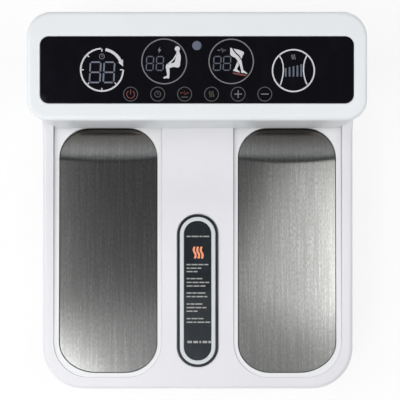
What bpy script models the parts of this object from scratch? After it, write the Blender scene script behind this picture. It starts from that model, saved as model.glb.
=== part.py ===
"""Foot massager with two steel foot plates and a raised console, built as separate pieces.

Metres, +Z up. The console stands at +Y, the heels at -Y. The origin is on the floor, under the
middle of the object. Pieces on the sloping deck hang from an empty whose XY plane is the deck.
"""

from math import cos, pi, radians, sin, tan

import bmesh
import bpy
from mathutils import Vector

# Overall sizes
TOTAL_LENGTH = 0.400
BASE_WIDTH = 0.346
HEEL_HEIGHT = 0.048
DECK_SLOPE = radians(3.2)
HEEL_CORNER = 0.046
REAR_CORNER = 0.024
BASE_EDGE = 0.005

# Shells
COVER_WALL = 0.0028
DECK_WALL = 0.0030
TRAY_STANDOFF = 0.0040
TRAY_FLOOR = 0.0025
TRAY_STEP = 0.0012
TONGUE_WALL = 0.0018
TONGUE_RISE = 0.0025
PARTING_HEIGHT = 0.024
TRAY_LEAN = 0.0030
TONGUE_ROOT = 0.0050

# Console
CONSOLE_HEIGHT = 0.075
CONSOLE_DEPTH = 0.1073
CONSOLE_OVERHANG = 0.003
CONSOLE_LEAN = 0.002
CONSOLE_CORNER = 0.022
CONSOLE_EDGE = 0.005
CONSOLE_WALL = 0.0028
CONSOLE_TOP_WALL = 0.0050

# Control panel in the console's top
PANEL_SIDE_MARGIN = 0.0145
PANEL_FRONT_MARGIN = 0.0175
PANEL_BACK_MARGIN = 0.0261
PANEL_THICKNESS = 0.0020
PANEL_CORNER = 0.0092
PANEL_LEDGE = 0.0050
IR_WINDOW_RADIUS = 0.0048

# Foot wells
PLATE_WIDTH = 0.108
PLATE_CORNER = 0.0317
PLATE_THICKNESS = 0.0010
PLATE_INSET = 0.0012
SIDE_MARGIN = 0.0193
HEEL_MARGIN = 0.0178
TOE_RAMP_LENGTH = 0.033
TOE_DROP = 0.0055
HEEL_SINK = 0.0008
TOE_SINK = 0.0045
BEZEL_RIM = 0.0057
BEZEL_LEDGE = 0.0040
BEZEL_DEPTH = 0.0152
BEZEL_EDGE = 0.0008
GASKET_LIP = 0.0008
GASKET_SHEET = 0.0008
GASKET_TOP_DEPTH = 0.0009
POCKET_FLOOR = 0.0022
POCKET_WALL = 0.0025

# Under each foot plate
HEATER_THICKNESS = 0.0015
HEATER_MARGIN = 0.0060
EMITTER_RADIUS = 0.028
EMITTER_COLLAR = 0.003
THERMOSTAT_RADIUS = 0.008
THERMOSTAT_COLLAR = 0.0015
LEAD_HOLE_RADIUS = 0.0032
LEAD_RADIUS = 0.0016

# Badge on the spine
BADGE_WIDTH = 0.0453
BADGE_LENGTH = 0.1697
BADGE_HEEL_MARGIN = 0.0247
BADGE_RECESS = 0.0015
BADGE_RISE = 0.0018
BADGE_RIM = 0.0026
BADGE_BAND = 0.0051
BADGE_FLOOR = 0.0012
BADGE_EDGE = 0.0005

# Display board and what stands on it
BOARD_THICKNESS = 0.0016
BOARD_MARGIN = 0.0045
DISPLAY_HEIGHT = 0.0072
STANDOFF_RADIUS = 0.0030
STANDOFF_PIN_RADIUS = 0.0013
STANDOFF_INSET = 0.0040
TIME_DISPLAY = (0.030, 0.024)
MODE_DISPLAY = (0.021, 0.018)
HEAT_DISPLAY = (0.020, 0.016)
RECEIVER_SIZE = 0.0070
KEY_PITCH = 0.0276
KEY_COUNT = 6
SPRING_RADIUS = 0.0040
SPRING_WALL = 0.0008
TIME_PLACE_SHARES = (-0.302, -0.04)
ENERGY_PLACE_SHARES = (-0.134, 0.092)
EMS_PLACE_SHARES = (0.080, 0.092)
HEAT_PLACE_SHARES = (0.307, -0.01)
KEY_ROW_SHARE = -0.36
IR_ROW_SHARE = 0.363

# Main board in the base, under the console
MAIN_BOARD = (0.150, 0.060)
MAIN_BOARD_OFFSET = 0.030
MAIN_BOARD_GAP = 0.0135
BOARD_LIFT = 0.0060
BOARD_POST_RADIUS = 0.0035
BOARD_POST_INSET = 0.006
TRANSFORMER = (0.048, 0.024, 0.036)
WINDING = (0.032, 0.038, 0.024)
CAPACITOR_RADIUS = 0.009
CAPACITOR_HEIGHT = 0.028
CAPACITOR_RIM = 0.001
HEATSINK = (0.036, 0.012, 0.026)
HEATSINK_BASE = 0.003
HEATSINK_FINS = 5
TRANSFORMER_PLACE_SHARES = (-0.26, 0.0)
CAPACITOR_PLACE_SHARES = (0.02, -0.15)
HEATSINK_PLACE_SHARES = (0.22, -0.28)
RIBBON_WIDTH = 0.024
RIBBON_THICKNESS = 0.0010
RIBBON_SWAY = 0.0025
RIBBON_SLOT = 0.014
RIBBON_PLACE_SHARE = 0.13

# Rear wall: inlet and rocker switch
INLET_FLANGE = (0.0310, 0.0240)
INLET_BODY = (0.0266, 0.0192)
INLET_CAVITY = (0.0240, 0.0164)
INLET_CHAMFER = 0.0045
INLET_BODY_DEPTH = 0.0220
INLET_CAVITY_DEPTH = 0.0170
INLET_PIN = (0.0020, 0.0040, 0.0120)
INLET_PIN_SPREAD = 0.0070
INLET_PIN_RAISE = 0.0025
FLANGE_THICKNESS = 0.0015
INLET_X = 0.062
REAR_AXIS_HEIGHT = 0.0435
SWITCH_X = 0.112
SWITCH_FLANGE = (0.0150, 0.0210)
SWITCH_BODY = (0.0130, 0.0190)
SWITCH_DEPTH = 0.0130
SWITCH_WALL = 0.0011
SWITCH_BACK = 0.0020
SWITCH_END_WALL = 0.0007
ROCKER_SIDE_GAP = 0.0004
ROCKER_LENGTH = 0.0162
ROCKER_TIP = 0.0026
ROCKER_VALLEY = 0.0015
ROCKER_ROOT = 0.0030
ROCKER_AXIS_DEPTH = 0.0008
ROCKER_TILT = radians(7.0)
ROCKER_PIN_RADIUS = 0.0012
ROCKER_PIN_REACH = 0.0010

# Screws, bosses, ribs, feet and vents
SCREW_HEAD_RADIUS = 0.0033
SCREW_HEAD_HEIGHT = 0.0024
SCREW_RADIUS = 0.0016
BOSS_RADIUS = 0.0050
COUNTERBORE_TOP = 0.0140
TRAY_BOSS_TOP = 0.0200
SCREW_END_GAP = 0.0012
CONSOLE_POST_RADIUS = 0.0045
CONSOLE_POST_SIDE_INSET = 0.033
CONSOLE_POST_INSET = 0.0125
CONSOLE_SCREW_REACH = 0.012
RIB_THICKNESS = 0.0024
RIB_SHARES = (0.27, 0.62, 0.88)
RIB_WIDTH_SHARE = 0.74
FOOT_RADIUS = 0.0100
FOOT_STEM_RADIUS = 0.0030
FOOT_BARB_RADIUS = 0.0042
FOOT_BARB_HEIGHT = 0.0020
FOOT_EDGE = 0.0008
FOOT_INSET = 0.0320
VENT_SIZE = (0.0030, 0.036)
VENT_PITCH = 0.010
VENT_COUNT = 9

# Clearances and small steps shared by all pieces
GAP = 0.0003
OVERRUN = 0.004
CORNER_STEPS = 8
POST_SIDES = 12
ROUND_SIDES = 24

# Places that follow from the sizes above
HEEL_Y = -TOTAL_LENGTH / 2
REAR_Y = TOTAL_LENGTH / 2 - CONSOLE_OVERHANG
HALF_WIDTH = BASE_WIDTH / 2
DECK_MID_HEIGHT = HEEL_HEIGHT - HEEL_Y * tan(DECK_SLOPE)
CONSOLE_BACK = REAR_Y / cos(DECK_SLOPE)
CONSOLE_FRONT = CONSOLE_BACK - CONSOLE_DEPTH
CONSOLE_TOP_FRONT = CONSOLE_FRONT + CONSOLE_LEAN
CONSOLE_TOP_BACK = (TOTAL_LENGTH / 2 + CONSOLE_HEIGHT * sin(DECK_SLOPE)) / cos(DECK_SLOPE)
CONSOLE_TOP_HALF = HALF_WIDTH + CONSOLE_OVERHANG
PANEL_HALF = CONSOLE_TOP_HALF - PANEL_SIDE_MARGIN
PANEL_FRONT = CONSOLE_TOP_FRONT + PANEL_FRONT_MARGIN
PANEL_BACK = CONSOLE_TOP_BACK - PANEL_BACK_MARGIN
PANEL_MID = (PANEL_FRONT + PANEL_BACK) / 2
PLATE_TOE = CONSOLE_FRONT
PLATE_HEEL = HEEL_Y / cos(DECK_SLOPE) + HEEL_MARGIN
RAMP_START = PLATE_TOE - TOE_RAMP_LENGTH
WELL_X = HALF_WIDTH - SIDE_MARGIN - PLATE_WIDTH / 2
POCKET_DEPTH = BEZEL_DEPTH + GAP
SEAT_DEPTH = PLATE_THICKNESS + GASKET_SHEET + 2 * GAP
POCKET_REACH = BEZEL_RIM + GAP + POCKET_WALL
BOARD_TOP = CONSOLE_HEIGHT - PANEL_THICKNESS - DISPLAY_HEIGHT - 2 * GAP
SIDES = {"left": -1, "right": 1}


def deck_height(y):
    """Height of the sloping deck above the floor."""
    return DECK_MID_HEIGHT + y * tan(DECK_SLOPE)


def deck_point(x, along, out):
    """World place of a point given on the deck."""
    y = along * cos(DECK_SLOPE) - out * sin(DECK_SLOPE)
    z = DECK_MID_HEIGHT + along * sin(DECK_SLOPE) + out * cos(DECK_SLOPE)
    return Vector((x, y, z))


def pocket_underside(y):
    """Height of the underside of the foot pockets' floor."""
    return deck_height(y) - (POCKET_DEPTH + POCKET_FLOOR) / cos(DECK_SLOPE)


def bezel_top(along):
    """Depth of the bezel's face below the deck: it sinks a little more towards the toes."""
    share = (along - PLATE_HEEL) / (PLATE_TOE - PLATE_HEEL)
    return -(HEEL_SINK + share * (TOE_SINK - HEEL_SINK))


def plate_top(along):
    """Depth of the foot plate's face: level with the bezel, then a ramp down at the toes."""
    ramp = max(0, along - RAMP_START) / TOE_RAMP_LENGTH
    return bezel_top(along) - PLATE_INSET - TOE_DROP * ramp


def plate_underside(along):
    return plate_top(along) - PLATE_THICKNESS


def seat_floor(along):
    return plate_top(along) - SEAT_DEPTH


def heater_underside(along):
    return plate_underside(along) - GAP - HEATER_THICKNESS


def clear_scene():
    for item in list(bpy.data.objects):
        bpy.data.objects.remove(item)


def make_collection(name):
    made = bpy.data.collections.new(name)
    bpy.context.scene.collection.children.link(made)
    return made


clear_scene()
PARTS = make_collection("foot_massager")
CUTTERS = make_collection("cutters")
DECK = bpy.data.objects.new("deck", None)
DECK.location = (0, 0, DECK_MID_HEIGHT)
DECK.rotation_euler = (DECK_SLOPE, 0, 0)
PARTS.objects.link(DECK)


def finish(part, name, colour, roughness, metallic=0.0):
    """Gives a part its own surface."""
    surface = bpy.data.materials.new(f"{part.name}_{name}")
    surface.use_nodes = True
    shader = surface.node_tree.nodes["Principled BSDF"]
    shader.inputs["Base Color"].default_value = (*colour, 1.0)
    shader.inputs["Roughness"].default_value = roughness
    shader.inputs["Metallic"].default_value = metallic
    part.data.materials.append(surface)
    return part


def white_plastic(part):
    return finish(part, "white_plastic", (0.80, 0.81, 0.83), 0.38)


def black_gloss(part):
    return finish(part, "black_gloss", (0.010, 0.010, 0.013), 0.12)


def black_plastic(part):
    return finish(part, "black_plastic", (0.030, 0.030, 0.032), 0.50)


def black_rubber(part):
    return finish(part, "black_rubber", (0.020, 0.020, 0.020), 0.80)


def brushed_steel(part):
    return finish(part, "brushed_steel", (0.52, 0.51, 0.49), 0.32, 1.0)


def bright_metal(part):
    return finish(part, "bright_metal", (0.62, 0.62, 0.60), 0.28, 1.0)


def pale_trim(part):
    return finish(part, "pale_trim", (0.66, 0.68, 0.69), 0.30)


def circuit_board(part):
    return finish(part, "circuit_board", (0.030, 0.150, 0.070), 0.45)


def display_block(part):
    return finish(part, "display_block", (0.060, 0.065, 0.080), 0.35)


def heater_film(part):
    return finish(part, "heater_film", (0.550, 0.160, 0.050), 0.60)


def grey_foam(part):
    return finish(part, "grey_foam", (0.180, 0.180, 0.190), 0.95)


def smoked_lens(part):
    return finish(part, "smoked_lens", (0.140, 0.150, 0.220), 0.10)


def place(name, mesh, on_deck, helper):
    made = bpy.data.objects.new(name, mesh)
    (CUTTERS if helper else PARTS).objects.link(made)
    if helper:
        made.hide_render = True
        made.display_type = "WIRE"
    if on_deck:
        made.parent = DECK
    return made


def mesh_from(bm, name, smooth=False):
    bmesh.ops.recalc_face_normals(bm, faces=bm.faces)
    mesh = bpy.data.meshes.new(name)
    bm.to_mesh(mesh)
    bm.free()
    if smooth:
        mesh.shade_smooth()
        mesh.set_sharp_from_angle(angle=radians(35))
    return mesh


def rounded_outline(low, high, low_radius, high_radius):
    """Rounded rectangle, anticlockwise, with one radius for the corners at low Y and one at high Y."""
    corners = (
        (high[0], low[1], -1, 1, low_radius, -pi / 2),
        (high[0], high[1], -1, -1, high_radius, 0.0),
        (low[0], high[1], 1, -1, high_radius, pi / 2),
        (low[0], low[1], 1, 1, low_radius, pi),
    )
    points = []
    for x, y, inward_x, inward_y, radius, start in corners:
        for step in range(CORNER_STEPS + 1):
            angle = start + step * pi / 2 / CORNER_STEPS
            centre_x = x + inward_x * radius
            centre_y = y + inward_y * radius
            points.append((centre_x + radius * cos(angle), centre_y + radius * sin(angle)))
    return points


def centred_outline(width, depth, radius, middle=(0, 0)):
    low = (middle[0] - width / 2, middle[1] - depth / 2)
    high = (middle[0] + width / 2, middle[1] + depth / 2)
    return rounded_outline(low, high, radius, radius)


def base_outline(inset):
    """Plan of the base, drawn in by an inset."""
    low = (-HALF_WIDTH + inset, HEEL_Y + inset)
    high = (HALF_WIDTH - inset, REAR_Y - inset)
    return rounded_outline(low, high, HEEL_CORNER - inset, REAR_CORNER - inset)


def well_outline(side, grow, heel_trim=0.0, toe_trim=0.0):
    """Plan of a foot plate, grown all round."""
    middle = SIDES[side] * WELL_X
    low = (middle - PLATE_WIDTH / 2 - grow, PLATE_HEEL + heel_trim - grow)
    high = (middle + PLATE_WIDTH / 2 + grow, PLATE_TOE - toe_trim + grow)
    return rounded_outline(low, high, PLATE_CORNER + grow, PLATE_CORNER + grow)


def height_of(value, y):
    return value(y) if callable(value) else value


def rim_edges(bm, level_verts):
    """Edges between the top faces and the walls."""
    found = []
    for edge in bm.edges:
        if not all(vert in level_verts for vert in edge.verts) or len(edge.link_faces) != 2:
            continue
        steep = [abs(face.normal.z) < 0.5 for face in edge.link_faces]
        if steep[0] != steep[1]:
            found.append(edge)
    return found


def slab(name, outline, bottom, top, rows=(), edge=0.0, edge_end=None, steps=2,
         top_outline=None, on_deck=True, helper=False):
    """Solid over a flat outline; bottom and top are heights, or functions of the place along Y.

    Rows are places where top or bottom changes slope. The top edge can be rounded, up to edge_end.
    A top outline with as many points makes the walls lean.
    """
    bm = bmesh.new()
    bm.faces.new([bm.verts.new((x, y, 0)) for x, y in outline])
    cuts = list(rows) + ([edge_end] if edge_end is not None else [])
    for row in cuts:
        everything = bm.verts[:] + bm.edges[:] + bm.faces[:]
        bmesh.ops.bisect_plane(bm, geom=everything, plane_co=(0, row, 0), plane_no=(0, 1, 0))
    flat = list(bm.verts)
    raised = bmesh.ops.extrude_face_region(bm, geom=bm.faces[:])["geom"]
    upper = {item for item in raised if isinstance(item, bmesh.types.BMVert)}
    if top_outline:
        pairs = [(Vector(low), Vector(high)) for low, high in zip(outline, top_outline)]
        for vert in upper:
            vert.co.xy = min(pairs, key=lambda pair: (pair[0] - vert.co.xy).length)[1]
    for vert in upper:
        vert.co.z = height_of(top, vert.co.y)
    for vert in flat:
        if vert not in upper:
            vert.co.z = height_of(bottom, vert.co.y)
    bmesh.ops.recalc_face_normals(bm, faces=bm.faces)
    if edge:
        rim = rim_edges(bm, upper)
        if edge_end is not None:
            rim = [item for item in rim if sum(v.co.y for v in item.verts) / 2 < edge_end]
        bmesh.ops.bevel(bm, geom=rim, offset=edge, segments=steps, profile=0.5, affect="EDGES")
    return place(name, mesh_from(bm, name, smooth=bool(edge)), on_deck, helper)


def box(name, size, low_centre, on_deck=False, helper=False):
    """Box of a size, standing on the point in the middle of its underside."""
    bm = bmesh.new()
    bmesh.ops.create_cube(bm, size=1.0)
    bmesh.ops.scale(bm, vec=size, verts=bm.verts)
    bmesh.ops.translate(bm, vec=(0, 0, size[2] / 2), verts=bm.verts)
    made = place(name, mesh_from(bm, name), on_deck, helper)
    made.location = low_centre
    return made


def post(name, radius, bottom, top, middle, sides=POST_SIDES, on_deck=False, helper=False):
    """Upright cylinder between two heights."""
    bm = bmesh.new()
    bmesh.ops.create_cone(bm, cap_ends=True, segments=sides, radius1=radius, radius2=radius,
                          depth=top - bottom)
    made = place(name, mesh_from(bm, name, smooth=True), on_deck, helper)
    made.location = (middle[0], middle[1], (top + bottom) / 2)
    return made


def turned(name, profile, location, sides=POST_SIDES, on_deck=False):
    """Profile of (radius, height) points, top to bottom, turned round Z."""
    bm = bmesh.new()
    points = [bm.verts.new((radius, 0, height)) for radius, height in profile]
    for upper, lower in zip(points, points[1:]):
        bm.edges.new((upper, lower))
    mesh = bpy.data.meshes.new(name)
    bm.to_mesh(mesh)
    bm.free()
    made = place(name, mesh, on_deck, False)
    made.location = location
    screw = made.modifiers.new("turn", "SCREW")
    screw.steps = sides
    screw.render_steps = sides
    screw.use_merge_vertices = True
    screw.merge_threshold = 0.00001
    return made


def combine(part, other, operation):
    step = part.modifiers.new(f"{operation.lower()}_{other.name}", "BOOLEAN")
    step.operation = operation
    step.solver = "EXACT"
    step.object = other


def cut(part, cutter):
    combine(part, cutter, "DIFFERENCE")


def join(part, addition):
    combine(part, addition, "UNION")


def tube(name, points, radius):
    """Lead along a smooth curve through a few points."""
    data = bpy.data.curves.new(name, "CURVE")
    data.dimensions = "3D"
    data.bevel_depth = radius
    data.bevel_resolution = 1
    data.use_fill_caps = True
    path = smooth_path(points)
    line = data.splines.new("POLY")
    line.points.add(len(path) - 1)
    for spot, co in zip(line.points, path):
        spot.co = (*co, 1.0)
    made = bpy.data.objects.new(name, data)
    PARTS.objects.link(made)
    return made


def smooth_path(points, steps=6):
    """Points along a curve that passes through the given ones."""
    ends = [2 * points[0] - points[1], *points, 2 * points[-1] - points[-2]]
    path = []
    for before, start, end, after in zip(ends, ends[1:], ends[2:], ends[3:]):
        for step in range(steps):
            t = step / steps
            path.append(
                0.5 * (2 * start + t * (end - before)
                       + t * t * (2 * before - 5 * start + 4 * end - after)
                       + t ** 3 * (3 * start - before - 3 * end + after))
            )
    path.append(points[-1])
    return path


def foot_places():
    """Places of the rubber feet, in from the base's sides and ends."""
    x = HALF_WIDTH - FOOT_INSET
    return ((-x, HEEL_Y + FOOT_INSET), (x, HEEL_Y + FOOT_INSET),
            (-x, REAR_Y - FOOT_INSET), (x, REAR_Y - FOOT_INSET))


def case_screw_places():
    """Two under the heels, two in the spine and two at the rear corners."""
    heel_x = HALF_WIDTH - FOOT_INSET * 2
    heel_y = HEEL_Y + FOOT_INSET * 2
    rear_x = HALF_WIDTH - REAR_CORNER * 2 / 3
    rear_y = REAR_Y - REAR_CORNER * 2 / 3
    spine_y = HEEL_Y + FOOT_INSET
    spine_toe_y = CONSOLE_FRONT - FOOT_INSET
    return ((-heel_x, heel_y), (heel_x, heel_y), (0, spine_y), (0, spine_toe_y),
            (-rear_x, rear_y), (rear_x, rear_y))


def case_screw_tip():
    """Height that all case screws reach: just under the pocket floor at the heels."""
    return pocket_underside(case_screw_places()[0][1] - BOSS_RADIUS) - SCREW_END_GAP


def console_post_places():
    """Places on the deck of the posts that hold the console down."""
    front = CONSOLE_FRONT + CONSOLE_POST_INSET + CONSOLE_WALL
    back = CONSOLE_BACK - CONSOLE_POST_INSET + CONSOLE_WALL
    side = HALF_WIDTH - CONSOLE_POST_SIDE_INSET
    return [(x, along) for along in (front, back) for x in (-side, side)]


def main_board_middle():
    bay_back = REAR_Y - COVER_WALL - INLET_BODY_DEPTH
    return (-MAIN_BOARD_OFFSET, bay_back - MAIN_BOARD_GAP - MAIN_BOARD[1] / 2)


def main_board_holes():
    x, y = main_board_middle()
    reach_x = MAIN_BOARD[0] / 2 - BOARD_POST_INSET
    reach_y = MAIN_BOARD[1] / 2 - BOARD_POST_INSET
    return [(x + i * reach_x, y + j * reach_y) for i in (-1, 1) for j in (-1, 1)]


MAIN_BOARD_BOTTOM = TRAY_STANDOFF + TRAY_FLOOR + BOARD_LIFT + GAP
MAIN_BOARD_TOP = MAIN_BOARD_BOTTOM + BOARD_THICKNESS


def make_bottom_tray():
    """Shallow tray with a tongue that locates the cover, screw bosses, ribs and vents."""
    floor_top = TRAY_STANDOFF + TRAY_FLOOR
    tongue_inset = COVER_WALL + GAP
    tray = slab("bottom_tray", base_outline(TRAY_STEP + TRAY_LEAN), TRAY_STANDOFF, PARTING_HEIGHT,
                top_outline=base_outline(TRAY_STEP), on_deck=False)
    tongue = slab("tray_tongue", base_outline(tongue_inset), PARTING_HEIGHT - TONGUE_ROOT,
                  PARTING_HEIGHT + TONGUE_RISE, on_deck=False, helper=True)
    inner_inset = tongue_inset + TONGUE_WALL
    hollow = slab("tray_hollow", base_outline(inner_inset + TRAY_LEAN), floor_top,
                  PARTING_HEIGHT + OVERRUN, top_outline=base_outline(inner_inset), on_deck=False,
                  helper=True)
    join(tray, tongue)
    cut(tray, hollow)
    bury = TRAY_FLOOR / 2
    for number, (x, y) in enumerate(case_screw_places()):
        join(tray, post(f"tray_boss_{number}", BOSS_RADIUS, TRAY_STANDOFF + bury, TRAY_BOSS_TOP,
                        (x, y), helper=True))
        cut(tray, post(f"tray_bore_{number}", SCREW_HEAD_RADIUS + GAP, TRAY_STANDOFF - OVERRUN,
                       COUNTERBORE_TOP, (x, y), helper=True))
        cut(tray, post(f"tray_hole_{number}", SCREW_RADIUS + GAP, TRAY_STANDOFF,
                       TRAY_BOSS_TOP + OVERRUN, (x, y), helper=True))
    for number, (x, y) in enumerate(main_board_holes()):
        join(tray, post(f"board_post_{number}", BOARD_POST_RADIUS, TRAY_STANDOFF + bury,
                        floor_top + BOARD_LIFT, (x, y), helper=True))
        join(tray, post(f"board_pin_{number}", STANDOFF_PIN_RADIUS, floor_top,
                        MAIN_BOARD_TOP + GAP, (x, y), helper=True))
    for number, (x, y) in enumerate(foot_places()):
        cut(tray, post(f"foot_hole_{number}", FOOT_STEM_RADIUS + GAP, TRAY_STANDOFF - OVERRUN,
                       floor_top + OVERRUN, (x, y), helper=True))
    for side, sign in SIDES.items():
        for number, share in enumerate(RIB_SHARES):
            y = (PLATE_HEEL + share * (PLATE_TOE - PLATE_HEEL)) * cos(DECK_SLOPE)
            height = pocket_underside(y - RIB_THICKNESS / 2) - GAP - TRAY_STANDOFF - bury
            size = (PLATE_WIDTH * RIB_WIDTH_SHARE, RIB_THICKNESS, height)
            join(tray, box(f"rib_{side}_{number}", size, (sign * WELL_X, y, TRAY_STANDOFF + bury),
                           helper=True))
    board_x, board_y = main_board_middle()
    for number in range(VENT_COUNT):
        x = board_x + (number - (VENT_COUNT - 1) / 2) * VENT_PITCH
        size = (VENT_SIZE[0], VENT_SIZE[1], TRAY_FLOOR + 2 * OVERRUN)
        cut(tray, box(f"vent_{number}", size, (x, board_y, TRAY_STANDOFF - OVERRUN), helper=True))
    return white_plastic(tray)


def make_base_cover():
    """Sloping shell with two closed pockets for the feet and a deck for the console."""
    bottom = PARTING_HEIGHT + GAP
    fillet_end = (CONSOLE_FRONT + CONSOLE_CORNER / 3) * cos(DECK_SLOPE)
    cover = slab("base_cover", base_outline(0.0), bottom, deck_height, edge=BASE_EDGE,
                 edge_end=fillet_end, steps=3, on_deck=False)
    hollow = slab("cover_hollow", base_outline(COVER_WALL), bottom - OVERRUN,
                  lambda y: deck_height(y) - DECK_WALL, on_deck=False, helper=True)
    cut(cover, hollow)
    for side in SIDES:
        tub = slab(f"tub_{side}", well_outline(side, POCKET_REACH), -POCKET_DEPTH - POCKET_FLOOR,
                   -DECK_WALL / 2, helper=True)
        pocket = slab(f"pocket_{side}", well_outline(side, BEZEL_RIM + GAP), -POCKET_DEPTH,
                      OVERRUN, helper=True)
        lead_hole = post(f"lead_hole_{side}", LEAD_HOLE_RADIUS, -POCKET_DEPTH - 2 * OVERRUN, 0,
                         (SIDES[side] * WELL_X, emitter_place()), on_deck=True, helper=True)
        join(cover, tub)
        cut(cover, pocket)
        cut(cover, lead_hole)
    for number, (x, y) in enumerate(case_screw_places()):
        under_pocket = abs(x) > WELL_X - PLATE_WIDTH / 2 and y < CONSOLE_FRONT
        carrier = pocket_underside(y) + POCKET_FLOOR / 2 if under_pocket else (
            deck_height(y) - DECK_WALL / 2)
        join(cover, post(f"cover_post_{number}", BOSS_RADIUS, TRAY_BOSS_TOP + GAP, carrier,
                         (x, y), helper=True))
        cut(cover, post(f"cover_pilot_{number}", SCREW_RADIUS + GAP, TRAY_BOSS_TOP - OVERRUN,
                        case_screw_tip() + GAP, (x, y), helper=True))
    for number, (x, along) in enumerate(console_post_places()):
        cut(cover, post(f"deck_hole_{number}", SCREW_RADIUS + GAP, -DECK_WALL - OVERRUN, OVERRUN,
                        (x, along), on_deck=True, helper=True))
    slot = slab("ribbon_opening", centred_outline(RIBBON_WIDTH + RIBBON_SLOT, RIBBON_SLOT,
                RIBBON_SLOT / 3, (RIBBON_PLACE_SHARE * PANEL_HALF, ribbon_middle())),
                -DECK_WALL - OVERRUN, OVERRUN, helper=True)
    cut(cover, slot)
    badge = slab("badge_recess", badge_outline(GAP), -BADGE_RECESS, OVERRUN, helper=True)
    cut(cover, badge)
    for label, x, size in (("inlet", INLET_X, INLET_BODY), ("switch", SWITCH_X, SWITCH_BODY)):
        window = box(f"{label}_window", (size[0] + 2 * GAP, COVER_WALL + 2 * OVERRUN,
                     size[1] + 2 * GAP), (x, REAR_Y, REAR_AXIS_HEIGHT - size[1] / 2 - GAP),
                     helper=True)
        cut(cover, window)
    return white_plastic(cover)


def make_console_housing():
    """Block across the toe end, open below, with a seat and a window for the panel."""
    bottom = rounded_outline((-HALF_WIDTH, CONSOLE_FRONT), (HALF_WIDTH, CONSOLE_BACK),
                             CONSOLE_CORNER, CONSOLE_CORNER)
    top = rounded_outline((-CONSOLE_TOP_HALF, CONSOLE_TOP_FRONT),
                          (CONSOLE_TOP_HALF, CONSOLE_TOP_BACK), CONSOLE_CORNER, CONSOLE_CORNER)
    housing = slab("console_housing", bottom, GAP, CONSOLE_HEIGHT, edge=CONSOLE_EDGE, steps=4,
                   top_outline=top)
    wall = CONSOLE_WALL
    inner = CONSOLE_CORNER - wall
    low = rounded_outline((-HALF_WIDTH + wall, CONSOLE_FRONT + wall),
                          (HALF_WIDTH - wall, CONSOLE_BACK - wall), inner, inner)
    high = rounded_outline((-CONSOLE_TOP_HALF + wall, CONSOLE_TOP_FRONT + wall),
                           (CONSOLE_TOP_HALF - wall, CONSOLE_TOP_BACK - wall), inner, inner)
    ceiling = CONSOLE_HEIGHT - CONSOLE_TOP_WALL
    cut(housing, slab("console_hollow", low, 0, ceiling, top_outline=high, helper=True))
    cut(housing, slab("panel_seat", panel_outline(GAP), CONSOLE_HEIGHT - PANEL_THICKNESS - GAP,
                      CONSOLE_HEIGHT + OVERRUN, helper=True))
    cut(housing, slab("panel_window", panel_outline(-PANEL_LEDGE), ceiling - OVERRUN,
                      CONSOLE_HEIGHT + OVERRUN, helper=True))
    bury = CONSOLE_TOP_WALL / 3
    for number, place_on_deck in enumerate(console_post_places()):
        join(housing, post(f"console_post_{number}", CONSOLE_POST_RADIUS, GAP, ceiling + bury,
                           place_on_deck, on_deck=True, helper=True))
        cut(housing, post(f"console_pilot_{number}", SCREW_RADIUS + GAP, -OVERRUN,
                          CONSOLE_SCREW_REACH, place_on_deck, on_deck=True, helper=True))
    for number, place_on_deck in enumerate(standoff_places()):
        join(housing, post(f"standoff_{number}", STANDOFF_RADIUS, BOARD_TOP + GAP, ceiling + bury,
                           place_on_deck, on_deck=True, helper=True))
        join(housing, post(f"standoff_pin_{number}", STANDOFF_PIN_RADIUS,
                           BOARD_TOP - BOARD_THICKNESS - GAP, ceiling, place_on_deck,
                           on_deck=True, helper=True))
    return white_plastic(housing)


def panel_outline(grow):
    low = (-PANEL_HALF - grow, PANEL_FRONT - grow)
    high = (PANEL_HALF + grow, PANEL_BACK + grow)
    radius = PANEL_CORNER + grow
    return rounded_outline(low, high, radius, radius)


def on_panel(shares):
    """Place on the deck of a point given in shares of the panel's width and depth."""
    return (shares[0] * 2 * PANEL_HALF, PANEL_MID + shares[1] * (PANEL_BACK - PANEL_FRONT))


def make_control_panel():
    panel = slab("control_panel", panel_outline(0.0), CONSOLE_HEIGHT - PANEL_THICKNESS,
                 CONSOLE_HEIGHT)
    cut(panel, post("ir_hole", IR_WINDOW_RADIUS + GAP, CONSOLE_HEIGHT - PANEL_THICKNESS - OVERRUN,
                    CONSOLE_HEIGHT + OVERRUN, on_panel((0, IR_ROW_SHARE)), sides=ROUND_SIDES,
                    on_deck=True, helper=True))
    return black_gloss(panel)


def make_ir_window():
    x, along = on_panel((0, IR_ROW_SHARE))
    window = post("ir_window", IR_WINDOW_RADIUS, CONSOLE_HEIGHT - PANEL_THICKNESS, CONSOLE_HEIGHT,
                  (x, along), sides=ROUND_SIDES, on_deck=True)
    return smoked_lens(window)


def board_reach():
    """Half width, front and back of the display board, under the panel's whole seat."""
    return (PANEL_HALF + BOARD_MARGIN, PANEL_FRONT + BOARD_MARGIN / 2, PANEL_BACK - BOARD_MARGIN / 2)


def standoff_places():
    half, front, back = board_reach()
    x = half - STANDOFF_INSET
    return [(i * x, along) for i in (-1, 1)
            for along in (front + 2 * STANDOFF_INSET, back - 2 * STANDOFF_INSET)]


def make_display_board():
    half, front, back = board_reach()
    radius = STANDOFF_RADIUS
    board = slab("display_board", rounded_outline((-half, front), (half, back), radius, radius),
                 BOARD_TOP - BOARD_THICKNESS, BOARD_TOP)
    for number, spot in enumerate(standoff_places()):
        cut(board, post(f"display_hole_{number}", STANDOFF_PIN_RADIUS + GAP, BOARD_TOP - OVERRUN,
                        BOARD_TOP + OVERRUN, spot, on_deck=True, helper=True))
    return circuit_board(board)


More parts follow.
